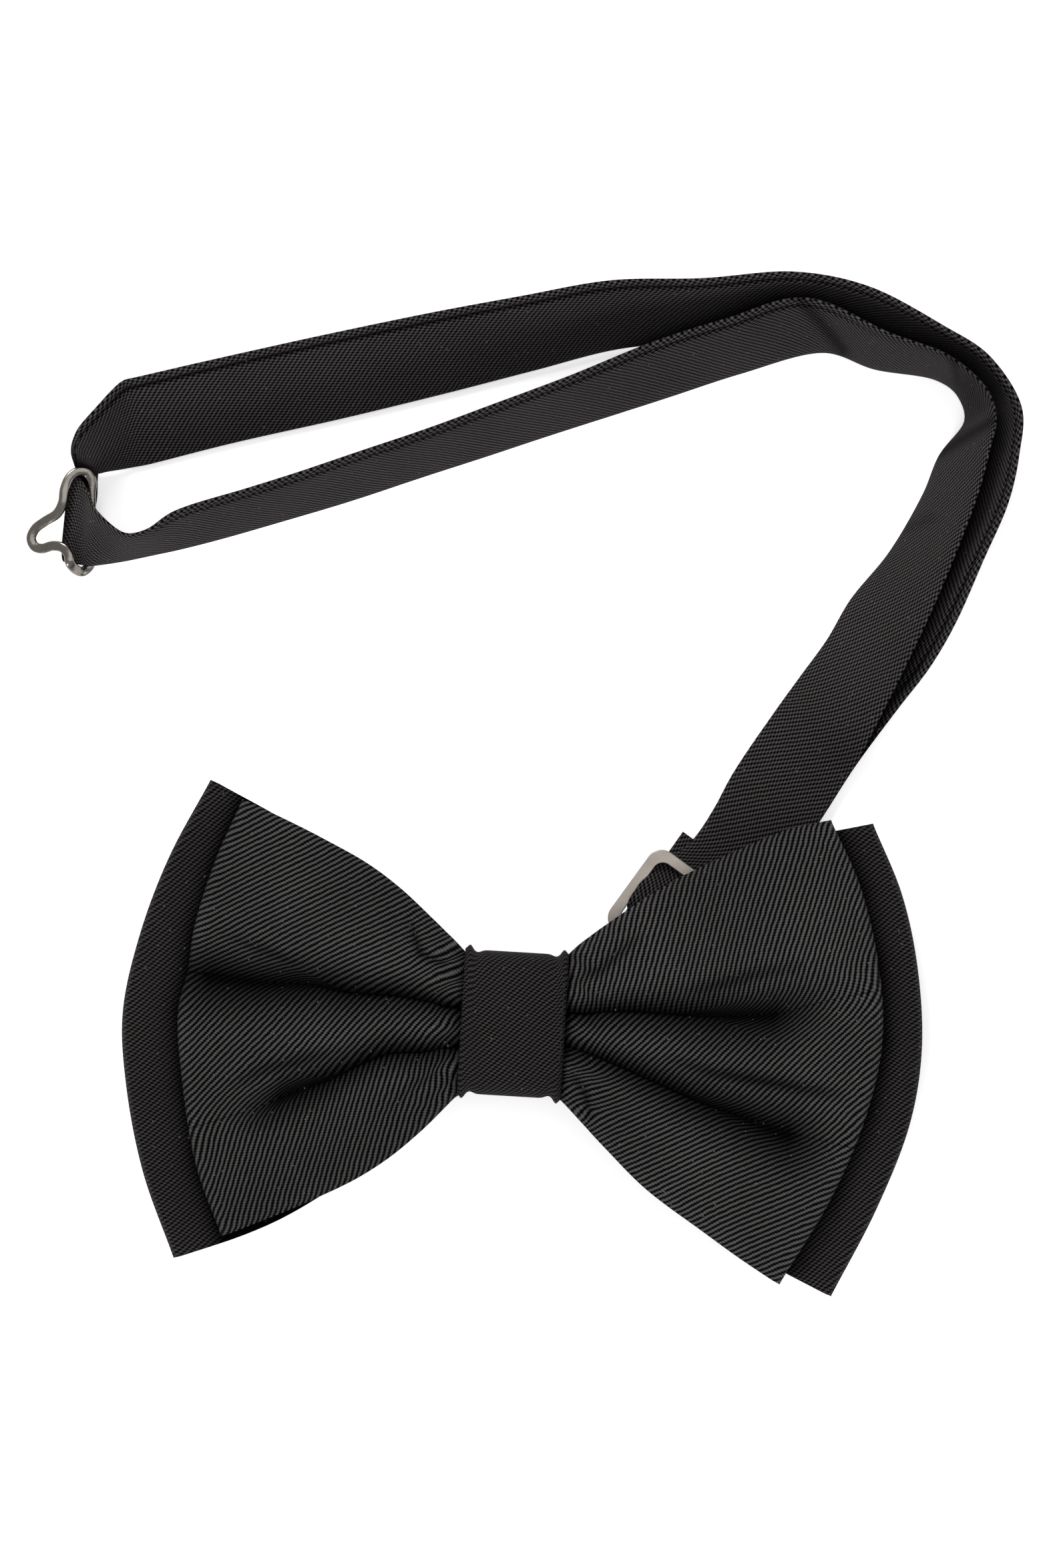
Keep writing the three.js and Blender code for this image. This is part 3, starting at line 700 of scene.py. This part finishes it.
def front_height(side, lobe, s, a, uv):
    """Height of the front panel. A lobe tucks down at its top crease and rolls at its foot."""
    u, v = np.abs(uv[..., 0]), uv[..., 1]
    span = 20.0 + 46.0 * s
    z = 12.6 + 1.9 * np.sin(math.pi * s ** 0.75) - 1.0 * s ** 2
    z = z + 1.3 * np.sin(math.pi * np.clip(a, 0, 1)) ** 0.6 * (1 - 0.5 * s)
    for pleat, (line, depths) in enumerate(PLEATS[side]):
        depth, sharp = along_line(depths, u), tuck(u)
        below = along_line(line, u) - v
        soft = (1 - sharp) * np.exp(-(below / (2.2 + 0.05 * u)) ** 2)
        if lobe <= pleat:
            z = z - depth * (sharp * np.exp(-np.maximum(below, 0) / (1.0 + 0.11 * u)) + soft)
        else:
            roll = np.maximum(-below, 0)
            lip = 0.34 * np.exp(-roll / 0.7) + 0.22 * np.exp(-roll / (1.5 + 0.08 * u))
            z = z - depth * (sharp * lip + soft)
    for line, width, depth in SOFT_FOLDS[side]:
        gap, share = distance_to(line, uv)
        z = z - depth * np.exp(-(gap / width) ** 2) * np.sin(math.pi * share) ** 0.5
    for edge in (a, 1 - a):
        away = np.maximum(edge, 0) * span
        z = z - 1.2 * np.exp(-(away / 1.1) ** 2) * (0.5 + 0.5 * s)
        z = z - 0.9 * (1 - s) * np.exp(-away / 3.5)
    near = np.exp(-(s * 46 / 7.0) ** 2) * smoothstep(s, 0.0, 0.05)
    z = z + 0.4 * near * np.sin(a * span * 1.7 + 0.5 * soft_noise(uv[..., 0], v, 9, 4))
    z = z + 0.60 * soft_noise(uv[..., 0], v, 19.0, 11 + side)
    z = z + 0.16 * soft_noise(uv[..., 0], v, 7.0, 31 + side)
    return z - 1.3 * np.exp(-(s * 46 / 1.3) ** 2)


def crease_shade(side, lobe, s, uv):
    """Painted shade for the front bow: in the pleats and soft folds, where the cloth runs under the
    knot and over each wing's lower part, over a random mottled darkening.
    """
    u, v = np.abs(uv[..., 0]), uv[..., 1]
    # Painted shade over the lower part of each wing, stronger on the left wing.
    low = {-1: 0.30, 1: 0.14}[side] * (1 - smoothstep(uv[..., 1], -14.0, 0.0))
    # Painted shade where the cloth runs in under the knot.
    shade = np.maximum(0.9 * np.exp(-(s * 46 / 0.8) ** 2), low)
    # Darker in broad random patches everywhere.
    shade = np.maximum(shade, 0.16 + 0.14 * soft_noise(uv[..., 0], v, 26.0, 71))
    for pleat, (line, depths) in enumerate(PLEATS[side]):
        strength = np.clip(along_line(depths, u) / 1.5, 0, 1)
        below = along_line(line, u) - v
        wide = 1.9 + 0.10 * u
        if lobe <= pleat:
            dark = np.exp(-(np.maximum(below, 0) / wide) ** 1.6)
        else:
            dark = 0.95 * np.exp(-(np.maximum(-below, 0) / (0.7 + 0.09 * u)) ** 1.5)
        shade = np.maximum(shade, strength * dark)
    for line, width, depth in SOFT_FOLDS[side]:
        gap, share = distance_to(line, uv)
        ends = np.sin(math.pi * share) ** 0.5
        shade = np.maximum(shade, 0.8 * min(1.0, depth) * ends * np.exp(-(gap / width) ** 2))
    return shade


def overhang(side, lobe, uv):
    """How far down the wing a lobe's foot laps over its neighbour, in millimetres."""
    if lobe == 0:
        return 0 * uv[..., 0]
    line = PLEATS[side][lobe - 1][0]
    u = np.abs(uv[..., 0])
    above = uv[..., 1] - along_line(line, u)
    return 0.45 * tuck(u) * np.exp(-np.maximum(above, 0) / 0.8)


def tip_rounding(s, radius_share=0.035):
    """Falls to 0 at the outer fold along a quarter round."""
    x = np.clip((s - (1 - radius_share)) / radius_share, 0, 1)
    return np.sqrt(1 - x ** 2)


# Where each pleat has opened out, and the ribs of its two lobes run into one another.
RIB_PIVOTS = {-1: ((-43.0, -16.5), (-49.0, 5.3)), 1: ((47.0, -14.3), (48.0, 6.9))}


def front_weave(side, lobe, s, uv):
    """Each lobe carries the ribs at its own angle, bent where the cloth is gathered."""
    u, v = uv[..., 0], uv[..., 1]
    frames = []
    for k in range(3):
        turn = math.radians(RIB_ANGLES[side][k])
        middle = math.radians(RIB_ANGLES[side][1])
        pivot = RIB_PIVOTS[side][0 if k == 0 else 1]
        du, dv = u - pivot[0], v - pivot[1]
        ribs = -du * math.sin(turn) + dv * math.cos(turn)
        yarn = du * math.cos(turn) + dv * math.sin(turn)
        ribs = ribs - pivot[0] * math.sin(middle) + pivot[1] * math.cos(middle)
        yarn = yarn + pivot[0] * math.cos(middle) + pivot[1] * math.sin(middle)
        frames.append((ribs, yarn))
    ribs, yarn = frames[lobe]
    for pleat in (0, 1):
        if lobe not in (pleat, pleat + 1):
            continue
        below = along_line(PLEATS[side][pleat][0], np.abs(u)) - v
        spread = 0.01 + 6.0 * (1 - tuck(np.abs(u) - 4.0))
        other = frames[pleat + 1 if lobe == pleat else pleat]
        share = 1 - smoothstep(np.abs(below), -spread, spread)
        ribs = ribs + (other[0] - frames[lobe][0]) * share
        yarn = yarn + (other[1] - frames[lobe][1]) * share
    gather = np.exp(-(s * 46 / 9.0) ** 2)
    loose = 1.1 if (side, lobe) in ((-1, 2), (1, 0)) else 0.45
    sway = loose * gather * soft_noise(u, 1.6 * v, 8.5, 51 + 3 * side + lobe)
    sway = sway + 0.35 * soft_noise(u, v, 24.0, 61)
    # The third value is the painted shade.
    return np.stack([ribs + sway, yarn, crease_shade(side, lobe, s, uv)], axis=-1)


def wing_points(outline, s, a):
    """Plan points of one wing at column fractions s and height fractions a."""
    columns = len(s)
    top = resampled(outline["top"], columns)
    bottom = resampled(outline["bottom"], columns)
    fold = resampled(outline["fold"], 400)
    at = np.linspace(0, 1, 400)
    edge = np.stack([np.interp(a, at, fold[:, k]) for k in range(2)], axis=-1)
    share = a[..., None]
    reach = s[None, :, None]
    waist = bottom[0] + (top[0] - bottom[0]) * share
    ruled = bottom[None] * (1 - share) + top[None] * share
    sides = waist * (1 - reach) + edge * reach
    corners = ((1 - reach) * waist + reach * (bottom[-1] * (1 - share) + top[-1] * share))
    return ruled + sides - corners


def front_panel(side):
    """The three lobes of one front wing, each a grid of its own, lowest first."""
    s = np.linspace(0, 1, FRONT_COLUMNS)
    points, patterns = [], []
    for lobe in range(3):
        a = lobe_rows(side, lobe, s)
        grid_s = np.broadcast_to(s[None, :], a.shape)
        uv = wing_points(FRONT_OUTLINE[side], s, a)
        face = front_height(side, lobe, grid_s, a, uv)
        z = FRONT_MIDDLE_Z + (face - FRONT_MIDDLE_Z) * tip_rounding(grid_s)
        drop = overhang(side, lobe, uv)
        place = np.stack([uv[..., 0], uv[..., 1] - drop, z], axis=-1)
        points.append(place)
        patterns.append(front_weave(side, lobe, grid_s, uv))
    return np.concatenate(points), np.concatenate(patterns)


def even_rows(rows, columns):
    return np.broadcast_to(np.linspace(0, 1, rows)[:, None], (rows, columns))


def flat_panel(outline, height, side, a):
    """A panel without pleats, with its rows at the height fractions a."""
    s = np.linspace(0, 1, a.shape[1])
    uv = wing_points(outline[side], s, a)
    grid_s = np.broadcast_to(s[None, :], a.shape)
    z = height(side, grid_s, a, uv)
    return np.concatenate([uv, z[..., None]], axis=-1), plain_weave(uv)


def bow_loop(name, panels, material):
    """Front and back panels of both wings as one skin: a loop open at top and bottom."""
    grid, pattern = [np.concatenate([panels["left"][k][:, ::-1], panels["right"][k],
                                     panels["right_back"][k][:, ::-1], panels["left_back"][k]],
                                    axis=1) for k in range(2)]
    world = turned(grid, BOW_CENTRE, BOW_TURN)
    rows, columns = grid.shape[:2]
    faces = grid_faces(rows, columns, wrap_columns=True, flip=True)
    obj = make_mesh(name, world.reshape(-1, 3), faces, material, pattern)
    return obj


def add_thickness(obj, thickness):
    solid = obj.modifiers.new("cloth_thickness", "SOLIDIFY")
    solid.thickness = thickness * MM
    solid.offset = -1
    solid.use_rim = True


def front_back_face(side, s, a, uv):
    face = 6.1 + 2.7 * smoothstep(s, 0, 0.25) + 0.15 * soft_noise(uv[..., 0], uv[..., 1], 30.0, 5)
    return FRONT_MIDDLE_Z + (face - FRONT_MIDDLE_Z) * tip_rounding(s)


def rear_face(side, s, a, uv):
    span = 17.0 + 54.0 * s
    face = 5.5 + 2.9 * smoothstep(s, 0, 0.22) - 0.3 * s
    face = face + 0.3 * soft_noise(uv[..., 0], uv[..., 1], 26.0, 21)
    for edge in (a, 1 - a):
        face = face - 0.5 * np.exp(-(edge * span / 0.7) ** 2)
    return REAR_MIDDLE_Z + (face - REAR_MIDDLE_Z) * tip_rounding(s, 0.015)


def rear_back_face(side, s, a, uv):
    face = 2.9 + 3.2 * smoothstep(s, 0, 0.2) + 0.08 * soft_noise(uv[..., 0], uv[..., 1], 30.0, 8)
    return REAR_MIDDLE_Z + (face - REAR_MIDDLE_Z) * tip_rounding(s, 0.015)


def plain_weave(uv):
    ribs, yarn = diagonal(uv[..., 0], uv[..., 1], 44)
    return np.stack([ribs, yarn, 0 * ribs], axis=-1)


def shaded_by_front(panel, side):
    """The rear bow's face gets a painted shadow where the front bow lies just over it."""
    points, pattern = panel
    fold = np.array(FRONT_OUTLINE[side]["fold"])
    beyond = np.abs(points[..., 0]) - np.abs(np.interp(points[..., 1], fold[:, 1], fold[:, 0]))
    pattern = pattern.copy()
    # Painted shadow of the front bow, kept as the weave's third value.
    pattern[..., 2] = 0.97 * np.exp(-(np.maximum(beyond, 0) / 2.0) ** 1.5)
    return points, pattern


def lining(name, outline, top, thickness, node):
    """Interlining pressed inside a loop, drawn a little smaller than its cloth."""
    inner = {side: {edge: [(u * 0.95, v * 0.955) for u, v in points]
                    for edge, points in outline[side].items()} for side in (-1, 1)}
    panels = {}
    for side, word in ((-1, "left"), (1, "right")):
        upper = lambda side, s, a, uv: top(s) + 0.1 * soft_noise(uv[..., 0], uv[..., 1], 21.0, 9)
        lower = lambda side, s, a, uv: upper(side, s, a, uv) - thickness * tip_rounding(s, 0.01)
        panels[word] = flat_panel(inner, upper, side, even_rows(40, 40))
        panels[word + "_back"] = flat_panel(inner, lower, side, even_rows(40, 40))
    obj = bow_loop(name, panels, FELT)
    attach(obj, "bow")
    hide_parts(node)


def build_bow():
    front, rear = {}, {}
    for side, word in ((-1, "left"), (1, "right")):
        front[word] = front_panel(side)
        s = np.linspace(0, 1, FRONT_COLUMNS)
        same_rows = np.concatenate([lobe_rows(side, lobe, s) for lobe in range(3)])
        front[word + "_back"] = flat_panel(FRONT_OUTLINE, front_back_face, side, same_rows)
        rear[word] = shaded_by_front(
            flat_panel(REAR_OUTLINE, rear_face, side, even_rows(90, 90)), side)
        rear[word + "_back"] = flat_panel(REAR_OUTLINE, rear_back_face, side, even_rows(90, 90))
    front_cloth = bow_loop("front_bow_cloth", front, RIB_TWILL)
    rear_cloth = bow_loop("rear_bow_cloth", rear, PLAIN_TWILL)
    for obj, node in ((front_cloth, "front_bow_loop"), (rear_cloth, "rear_bow_loop")):
        add_thickness(obj, BOW_CLOTH)
        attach(obj, "bow")
        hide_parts(node)
    lining("front_bow_felt", FRONT_OUTLINE, lambda s: 8.0 + 2.1 * smoothstep(s, 0, 0.4), 0.8,
           "front_bow_interlining")
    lining("rear_bow_felt", REAR_OUTLINE, lambda s: 4.9 + 2.4 * smoothstep(s, 0, 0.25), 0.6,
           "rear_bow_interlining")


# ---- The knot ----
KNOT_HALF_WIDTH = 7.8
KNOT_HALF_HEIGHT = 10.8
KNOT_MIDDLE_V = 0.3
KNOT_BOTTOM, KNOT_TOP = 1.0, 15.4
KNOT_GIRTH = 68.0
KNOT_COLUMNS, KNOT_AROUND = 61, 140


def knot_ring(u):
    """The wrap's outline in v and z at one place along the bow."""
    ears = 0.75 * np.exp(-((abs(u) - 7.1) / 0.5) ** 2) - 0.35 * np.exp(-((abs(u) - 5.9) / 0.7) ** 2)
    half = KNOT_HALF_HEIGHT + ears
    crown = 0.35 * (1 - (u / KNOT_HALF_WIDTH) ** 2)
    edge = 0.55 * smoothstep(abs(u), KNOT_HALF_WIDTH - 0.8, KNOT_HALF_WIDTH) ** 2
    top, bottom = KNOT_TOP + crown - edge, KNOT_BOTTOM
    radius_top, radius_bottom = 3.4, 1.6
    ring = []
    corners = ((1, 1, radius_top, 0), (-1, 1, radius_top, 90),
               (-1, -1, radius_bottom, 180), (1, -1, radius_bottom, 270))
    for sv, sz, radius, start in corners:
        centre_v = KNOT_MIDDLE_V + sv * (half - radius)
        centre_z = top - radius if sz > 0 else bottom + radius
        for k in range(13):
            angle = math.radians(start + 90 * k / 12)
            ring.append((centre_v + radius * math.cos(angle), centre_z + radius * math.sin(angle)))
    return np.array(ring)


def build_knot():
    stations = np.linspace(-1, 1, KNOT_COLUMNS) * KNOT_HALF_WIDTH
    dense = []
    for u in stations:
        ring = knot_ring(u)
        closed = np.vstack([ring, ring[:1]])
        run = run_along(closed)
        at = np.linspace(0, run[-1], KNOT_AROUND + 1)[:-1]
        v, z = np.interp(at, run, closed[:, 0]), np.interp(at, run, closed[:, 1])
        dense.append(np.stack([np.full(KNOT_AROUND, u), v, z], axis=-1))
    grid = np.array(dense)
    front = grid[..., 2] > 10
    grid[..., 2] += 0.12 * soft_noise(grid[..., 0], grid[..., 1], 11.0, 2) * front
    run = np.linspace(0, KNOT_GIRTH, KNOT_AROUND)
    along = np.broadcast_to(stations[:, None], grid.shape[:2])
    around = np.broadcast_to(run[None, :], grid.shape[:2])
    ribs, yarn = diagonal(along, -around, 45)
    world = turned(grid, BOW_CENTRE, BOW_TURN)
    faces = grid_faces(KNOT_COLUMNS, KNOT_AROUND, wrap_columns=True)
    weave = np.stack([ribs, yarn, 0 * ribs], axis=-1)
    obj = make_mesh("knot_cloth", world.reshape(-1, 3), faces, PLAIN_TWILL, weave)
    add_thickness(obj, KNOT_CLOTH)
    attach(obj, "bow")
    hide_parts("knot_wrap")


def thread_tube(name, path, radius, body, centre=None, angle=0.0):
    """A round thread along a path, with the lay of its plies as pattern."""
    path = np.asarray(path, dtype=float)
    if centre is not None:
        path = turned(path, centre, angle)
    along = directions(np.gradient(path, axis=0))
    guide = np.array([0.13, 0.21, 0.97])
    one = directions(np.cross(along, guide))
    two = np.cross(along, one)
    angles = np.linspace(0, 2 * math.pi, 9)[:-1]
    rings = (path[:, None] + radius * (np.cos(angles)[None, :, None] * one[:, None]
                                       + np.sin(angles)[None, :, None] * two[:, None]))
    length = run_along(path)
    around = np.broadcast_to(angles[None, :] * radius, rings.shape[:2])
    ribs, yarn = diagonal(np.broadcast_to(length[:, None], rings.shape[:2]), around, 30)
    rows, columns = rings.shape[:2]
    faces = grid_faces(rows, columns, wrap_columns=True)
    faces.append(tuple(range(columns))[::-1])
    faces.append(tuple((rows - 1) * columns + k for k in range(columns)))
    weave = np.stack([ribs, yarn, 0 * ribs], axis=-1)
    obj = make_mesh(name, rings.reshape(-1, 3), faces, THREAD, weave)
    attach(obj, body)
    return obj


def build_binding():
    """Thread wound tight round both waists, under the knot."""
    turns, steps = 5, 72
    t = np.linspace(0, turns, turns * steps)
    angle = 2 * math.pi * t
    half_v, half_z, middle = 9.0, 5.6, 7.8
    power = 0.35
    v = half_v * np.sign(np.cos(angle)) * np.abs(np.cos(angle)) ** power
    z = middle + half_z * np.sign(np.sin(angle)) * np.abs(np.sin(angle)) ** power
    u = -1.3 + 2.6 * t / turns
    obj = thread_tube("binding_thread", np.stack([u, v, z], axis=-1), 0.26, "bow",
                      BOW_CENTRE, BOW_TURN)
    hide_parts("waist_binding_thread")


def stitch_row(name, body, place, count, pitch, radius, centre, angle):
    """A line of running stitches as one thread that dips under the cloth between them."""
    t = np.linspace(0, count * pitch, count * 10 + 1)
    bob = 0.16 * np.sin(2 * math.pi * t / pitch)
    path = np.array([place(run, lift) for run, lift in zip(t, bob)])
    return thread_tube(name, path, radius, body, centre, angle)


def build_stitches():
    stitch_row("knot_edge_stitches", "bow",
               lambda run, lift: (7.3 + 0.05 * math.sin(9 * run), -4.9 + run, 15.38 + lift),
               10, 1.2, 0.12, BOW_CENTRE, BOW_TURN)

    s = np.linspace(0, 1, FRONT_COLUMNS)
    a = (1 - 0.85 / (20.0 + 46.0 * s))[None, :]
    edge = wing_points(FRONT_OUTLINE[-1], s, a)
    height = front_height(-1, 2, s[None, :], a, edge)[0]

    def by_top_edge(run, lift):
        at = 0.76 + run / 56.0
        u, v, z = (np.interp(at, s, row) for row in (edge[0, :, 0], edge[0, :, 1], height))
        return (u, v, z + 0.04 + lift)

    stitch_row("wing_edge_stitches", "bow", by_top_edge, 6, 1.5, 0.11, BOW_CENTRE, BOW_TURN)
    stitch_row("catch_tab_stitches", "band",
               lambda run, lift: (-6.3 + run, -6.5, 2.3 + lift),
               10, 1.26, 0.16, EYE_CENTRE, EYE_TURN)


def build_padding():
    half_u, half_v = 6.8, 7.9
    columns, rows = 26, 30
    u = np.linspace(-1, 1, columns)[None, :] * half_u + np.zeros((rows, 1))
    v = np.linspace(-1, 1, rows)[:, None] * half_v + np.zeros((1, columns))
    crown = (1 - (u / half_u) ** 6) * (1 - (v / half_v) ** 6)
    top = np.stack([u, v, 13.95 + 0.5 * crown], axis=-1)
    low = np.stack([u, v, 13.95 - 0.12 * crown], axis=-1)
    points = np.concatenate([top.reshape(-1, 3), low.reshape(-1, 3)])
    faces = grid_faces(rows, columns) + grid_faces(rows, columns, start=rows * columns, flip=True)
    shift = rows * columns
    border = ([(0, c) for c in range(columns)] + [(r, columns - 1) for r in range(1, rows)]
              + [(rows - 1, c) for c in range(columns - 2, -1, -1)]
              + [(r, 0) for r in range(rows - 2, 0, -1)])
    ring = [r * columns + c for r, c in border]
    for here, there in zip(ring, ring[1:] + ring[:1]):
        faces.append((there, here, here + shift, there + shift))
    obj = make_mesh("knot_pad", turned(points, BOW_CENTRE, BOW_TURN), faces, FELT)
    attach(obj, "bow")
    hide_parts("knot_padding")


# ---- Metal ----
def rounded_outline(width, height, radius, centre_y=0.0, steps=12):
    points = []
    for sx, sy, start in ((1, -1, -90), (1, 1, 0), (-1, 1, 90), (-1, -1, 180)):
        for k in range(steps + 1):
            angle = math.radians(start + 90 * k / steps)
            points.append((sx * (width / 2 - radius) + radius * math.cos(angle),
                           centre_y + sy * (height / 2 - radius) + radius * math.sin(angle)))
    return points


def flat_frame(name, outline, holes, bottom, thickness, bevel, material, body, node,
               centre, angle):
    """A stamped plate with openings and softly tumbled edges."""
    curve = bpy.data.curves.new(name, "CURVE")
    curve.dimensions = "2D"
    curve.fill_mode = "BOTH"
    curve.extrude = (thickness / 2 - bevel) * MM
    curve.bevel_depth = bevel * MM
    curve.bevel_resolution = 3
    curve.offset = -bevel * MM
    for loop in [outline] + holes:
        spline = curve.splines.new("POLY")
        spline.points.add(len(loop) - 1)
        for point, (x, y) in zip(spline.points, loop):
            point.co = (x * MM, y * MM, 0, 1)
        spline.use_cyclic_u = True
    shape = bpy.data.objects.new(name + "_outline", curve)
    bpy.context.scene.collection.objects.link(shape)
    graph = bpy.context.evaluated_depsgraph_get()
    mesh = bpy.data.meshes.new_from_object(shape.evaluated_get(graph))
    bpy.data.objects.remove(shape)
    points = np.array([v.co[:] for v in mesh.vertices]) / MM
    points[:, 2] += bottom + thickness / 2
    world = turned(points, centre, angle) * MM
    mesh.vertices.foreach_set("co", world.astype(np.float32).ravel())
    mesh.materials.clear()
    mesh.materials.append(material)
    mesh.polygons.foreach_set("use_smooth", [True] * len(mesh.polygons))
    mesh.name = name
    obj = bpy.data.objects.new(name, mesh)
    bpy.context.scene.collection.objects.link(obj)
    bpy.context.view_layer.objects.active = obj
    mesh.set_sharp_from_angle(angle=math.radians(40))
    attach(obj, body)
    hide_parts(node)
    return obj


def build_slide():
    width, length, bar, corner = 19.0, 14.5, 1.7, 2.4
    slot_length = length / 2 - bar - 1
    holes = [rounded_outline(width - 2 * bar, slot_length, 1.5, sign * (1 + slot_length / 2))
             for sign in (-1, 1)]
    flat_frame("slide_frame", rounded_outline(width, length, corner), holes, 3.6, 0.9, 0.14,
               NICKEL, "slide", "slide_adjuster", SLIDE_CENTRE, SLIDE_TURN)


def build_eye():
    width, reach, wire = 18.4, 9.0, 1.2
    holes = [rounded_outline(width - 2 * wire, reach - wire, 0.8, reach / 2)]
    flat_frame("catch_eye_frame", rounded_outline(width, reach + wire, 1.8, reach / 2), holes,
               1.25, 0.9, 0.2, GUNMETAL, "eye", "catch_eye", EYE_CENTRE, EYE_TURN)


HOOK_BAR = (-65.8, 40.0, 2.5)
HOOK_RISE = 0.12
HOOK_WIDTH = 1.5
HOOK_DEPTH = 1.0
# The wire's centre line: x, y, then how far it bends up out of the hook's own plane.
HOOK_LINE = [
    (-65.2, 43.8, 0.0), (-65.1, 45.8, 0.0), (-65.8, 47.0, 0.1), (-67.0, 47.2, 0.3),
    (-68.3, 46.4, 0.7), (-69.1, 44.7, 1.2), (-69.4, 42.6, 1.4), (-70.3, 40.9, 1.2),
    (-72.1, 39.7, 0.8), (-73.6, 38.5, 0.5), (-74.2, 37.1, 0.5), (-73.7, 35.9, 0.7),
    (-72.6, 35.6, 1.1), (-70.9, 36.1, 2.0), (-69.4, 35.9, 2.7), (-68.5, 34.9, 3.1),
    (-68.3, 33.7, 3.2), (-67.5, 32.6, 2.2), (-66.4, 32.1, 0.6), (-65.4, 33.0, 0.0),
    (-65.2, 36.5, 0.0), (-65.2, 40.5, 0.0),
]


def build_hook():
    """Flattened wire bent to a closed nose, with rounded edges all along."""
    count = len(HOOK_LINE)
    loop = HOOK_LINE + HOOK_LINE[:1]
    line = catmull_rom(HOOK_LINE[-2:] + loop + HOOK_LINE[1:3], [10] * (count + 4))
    line = line[20:20 + 10 * count]
    along = np.roll(line[:, :2], -1, axis=0) - np.roll(line[:, :2], 1, axis=0)
    along = directions(along)
    side = np.stack([-along[:, 1], along[:, 0]], axis=-1)
    angles = np.linspace(0, 2 * math.pi, 17)[:-1]
    power = 0.55
    across = HOOK_WIDTH / 2 * np.sign(np.cos(angles)) * np.abs(np.cos(angles)) ** power
    thick = HOOK_DEPTH / 2 * np.sign(np.sin(angles)) * np.abs(np.sin(angles)) ** power
    tilt = math.atan(HOOK_RISE)
    rings = []
    for point, way in zip(line, side):
        xy = point[None, :2] + across[:, None] * way[None]
        lift = thick + point[2]
        local_y = xy[:, 1] - HOOK_BAR[1]
        y = HOOK_BAR[1] + local_y * math.cos(tilt) - lift * math.sin(tilt)
        z = HOOK_BAR[2] + local_y * math.sin(tilt) + lift * math.cos(tilt)
        rings.append(np.stack([xy[:, 0], y, z], axis=-1))
    grid = np.array(rings)
    rows, columns = grid.shape[:2]
    faces = grid_faces(rows, columns, wrap_columns=True)
    for c in range(columns):
        d = (c + 1) % columns
        faces.append(((rows - 1) * columns + c, (rows - 1) * columns + d, d, c))
    obj = make_mesh("hook_wire", grid.reshape(-1, 3), faces, GUNMETAL)
    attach(obj, "hook")
    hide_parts("hook")


# ---- Room, light and camera ----
def build_stage():
    material, nodes, _ = new_material("paper_floor")
    shader = nodes["Principled BSDF"]
    shader.inputs["Base Color"].default_value = (0.9, 0.9, 0.9, 1)
    shader.inputs["Emission Color"].default_value = (1, 1, 1, 1)
    shader.inputs["Emission Strength"].default_value = 0.5
    shader.inputs["Roughness"].default_value = 0.9
    shader.inputs["Specular IOR Level"].default_value = 0.1
    bpy.ops.mesh.primitive_plane_add(size=6, location=(0, 0, min(0.0, cad_bounds[0][2]) - 0.0001))
    floor = bpy.context.object
    floor.name = "floor"
    floor.data.materials.append(material)

    world = bpy.data.worlds.new("studio")
    bpy.context.scene.world = world
    world.use_nodes = True
    world.node_tree.nodes["Background"].inputs[0].default_value = (1, 1, 1, 1)
    world.node_tree.nodes["Background"].inputs[1].default_value = 0.5

    lamps = (
        ("key", (-0.35, 0.95, 0.9), 0.45, 8.0),
        ("overhead", (0.1, 0.1, 1.3), 0.9, 2.5),
        ("front_fill", (-0.35, -0.95, 0.6), 0.5, 5.0),
        ("right_fill", (1.0, -0.1, 0.6), 0.6, 1.5),
    )
    for name, place, size, power in lamps:
        light = bpy.data.lights.new(name, "AREA")
        light.shape = "DISK"
        light.size = size
        light.energy = power
        lamp = bpy.data.objects.new(name, light)
        lamp.location = place
        lamp.rotation_euler = (Vector((0, 0, 0)) - Vector(place)).to_track_quat("-Z", "Y").to_euler()
        bpy.context.scene.collection.objects.link(lamp)


def build_camera():
    distance_m, view_height_m, middle_z_m = 2.4, 0.2361, 0.006
    camera = bpy.data.cameras.new("camera")
    camera.sensor_fit = "VERTICAL"
    camera.sensor_height = 24
    camera.lens = 24 * distance_m / view_height_m
    camera.clip_end = 20
    eye = bpy.data.objects.new("camera", camera)
    eye.location = (0, 0, distance_m + middle_z_m)
    bpy.context.scene.collection.objects.link(eye)
    bpy.context.scene.camera = eye
    bpy.context.scene.view_settings.view_transform = "Standard"
    bpy.context.scene.view_settings.look = "None"


build_neckband()
build_sewn_end()
build_bow()
build_knot()
build_binding()
build_padding()
build_stitches()
build_slide()
build_eye()
build_hook()
build_stage()
build_camera()
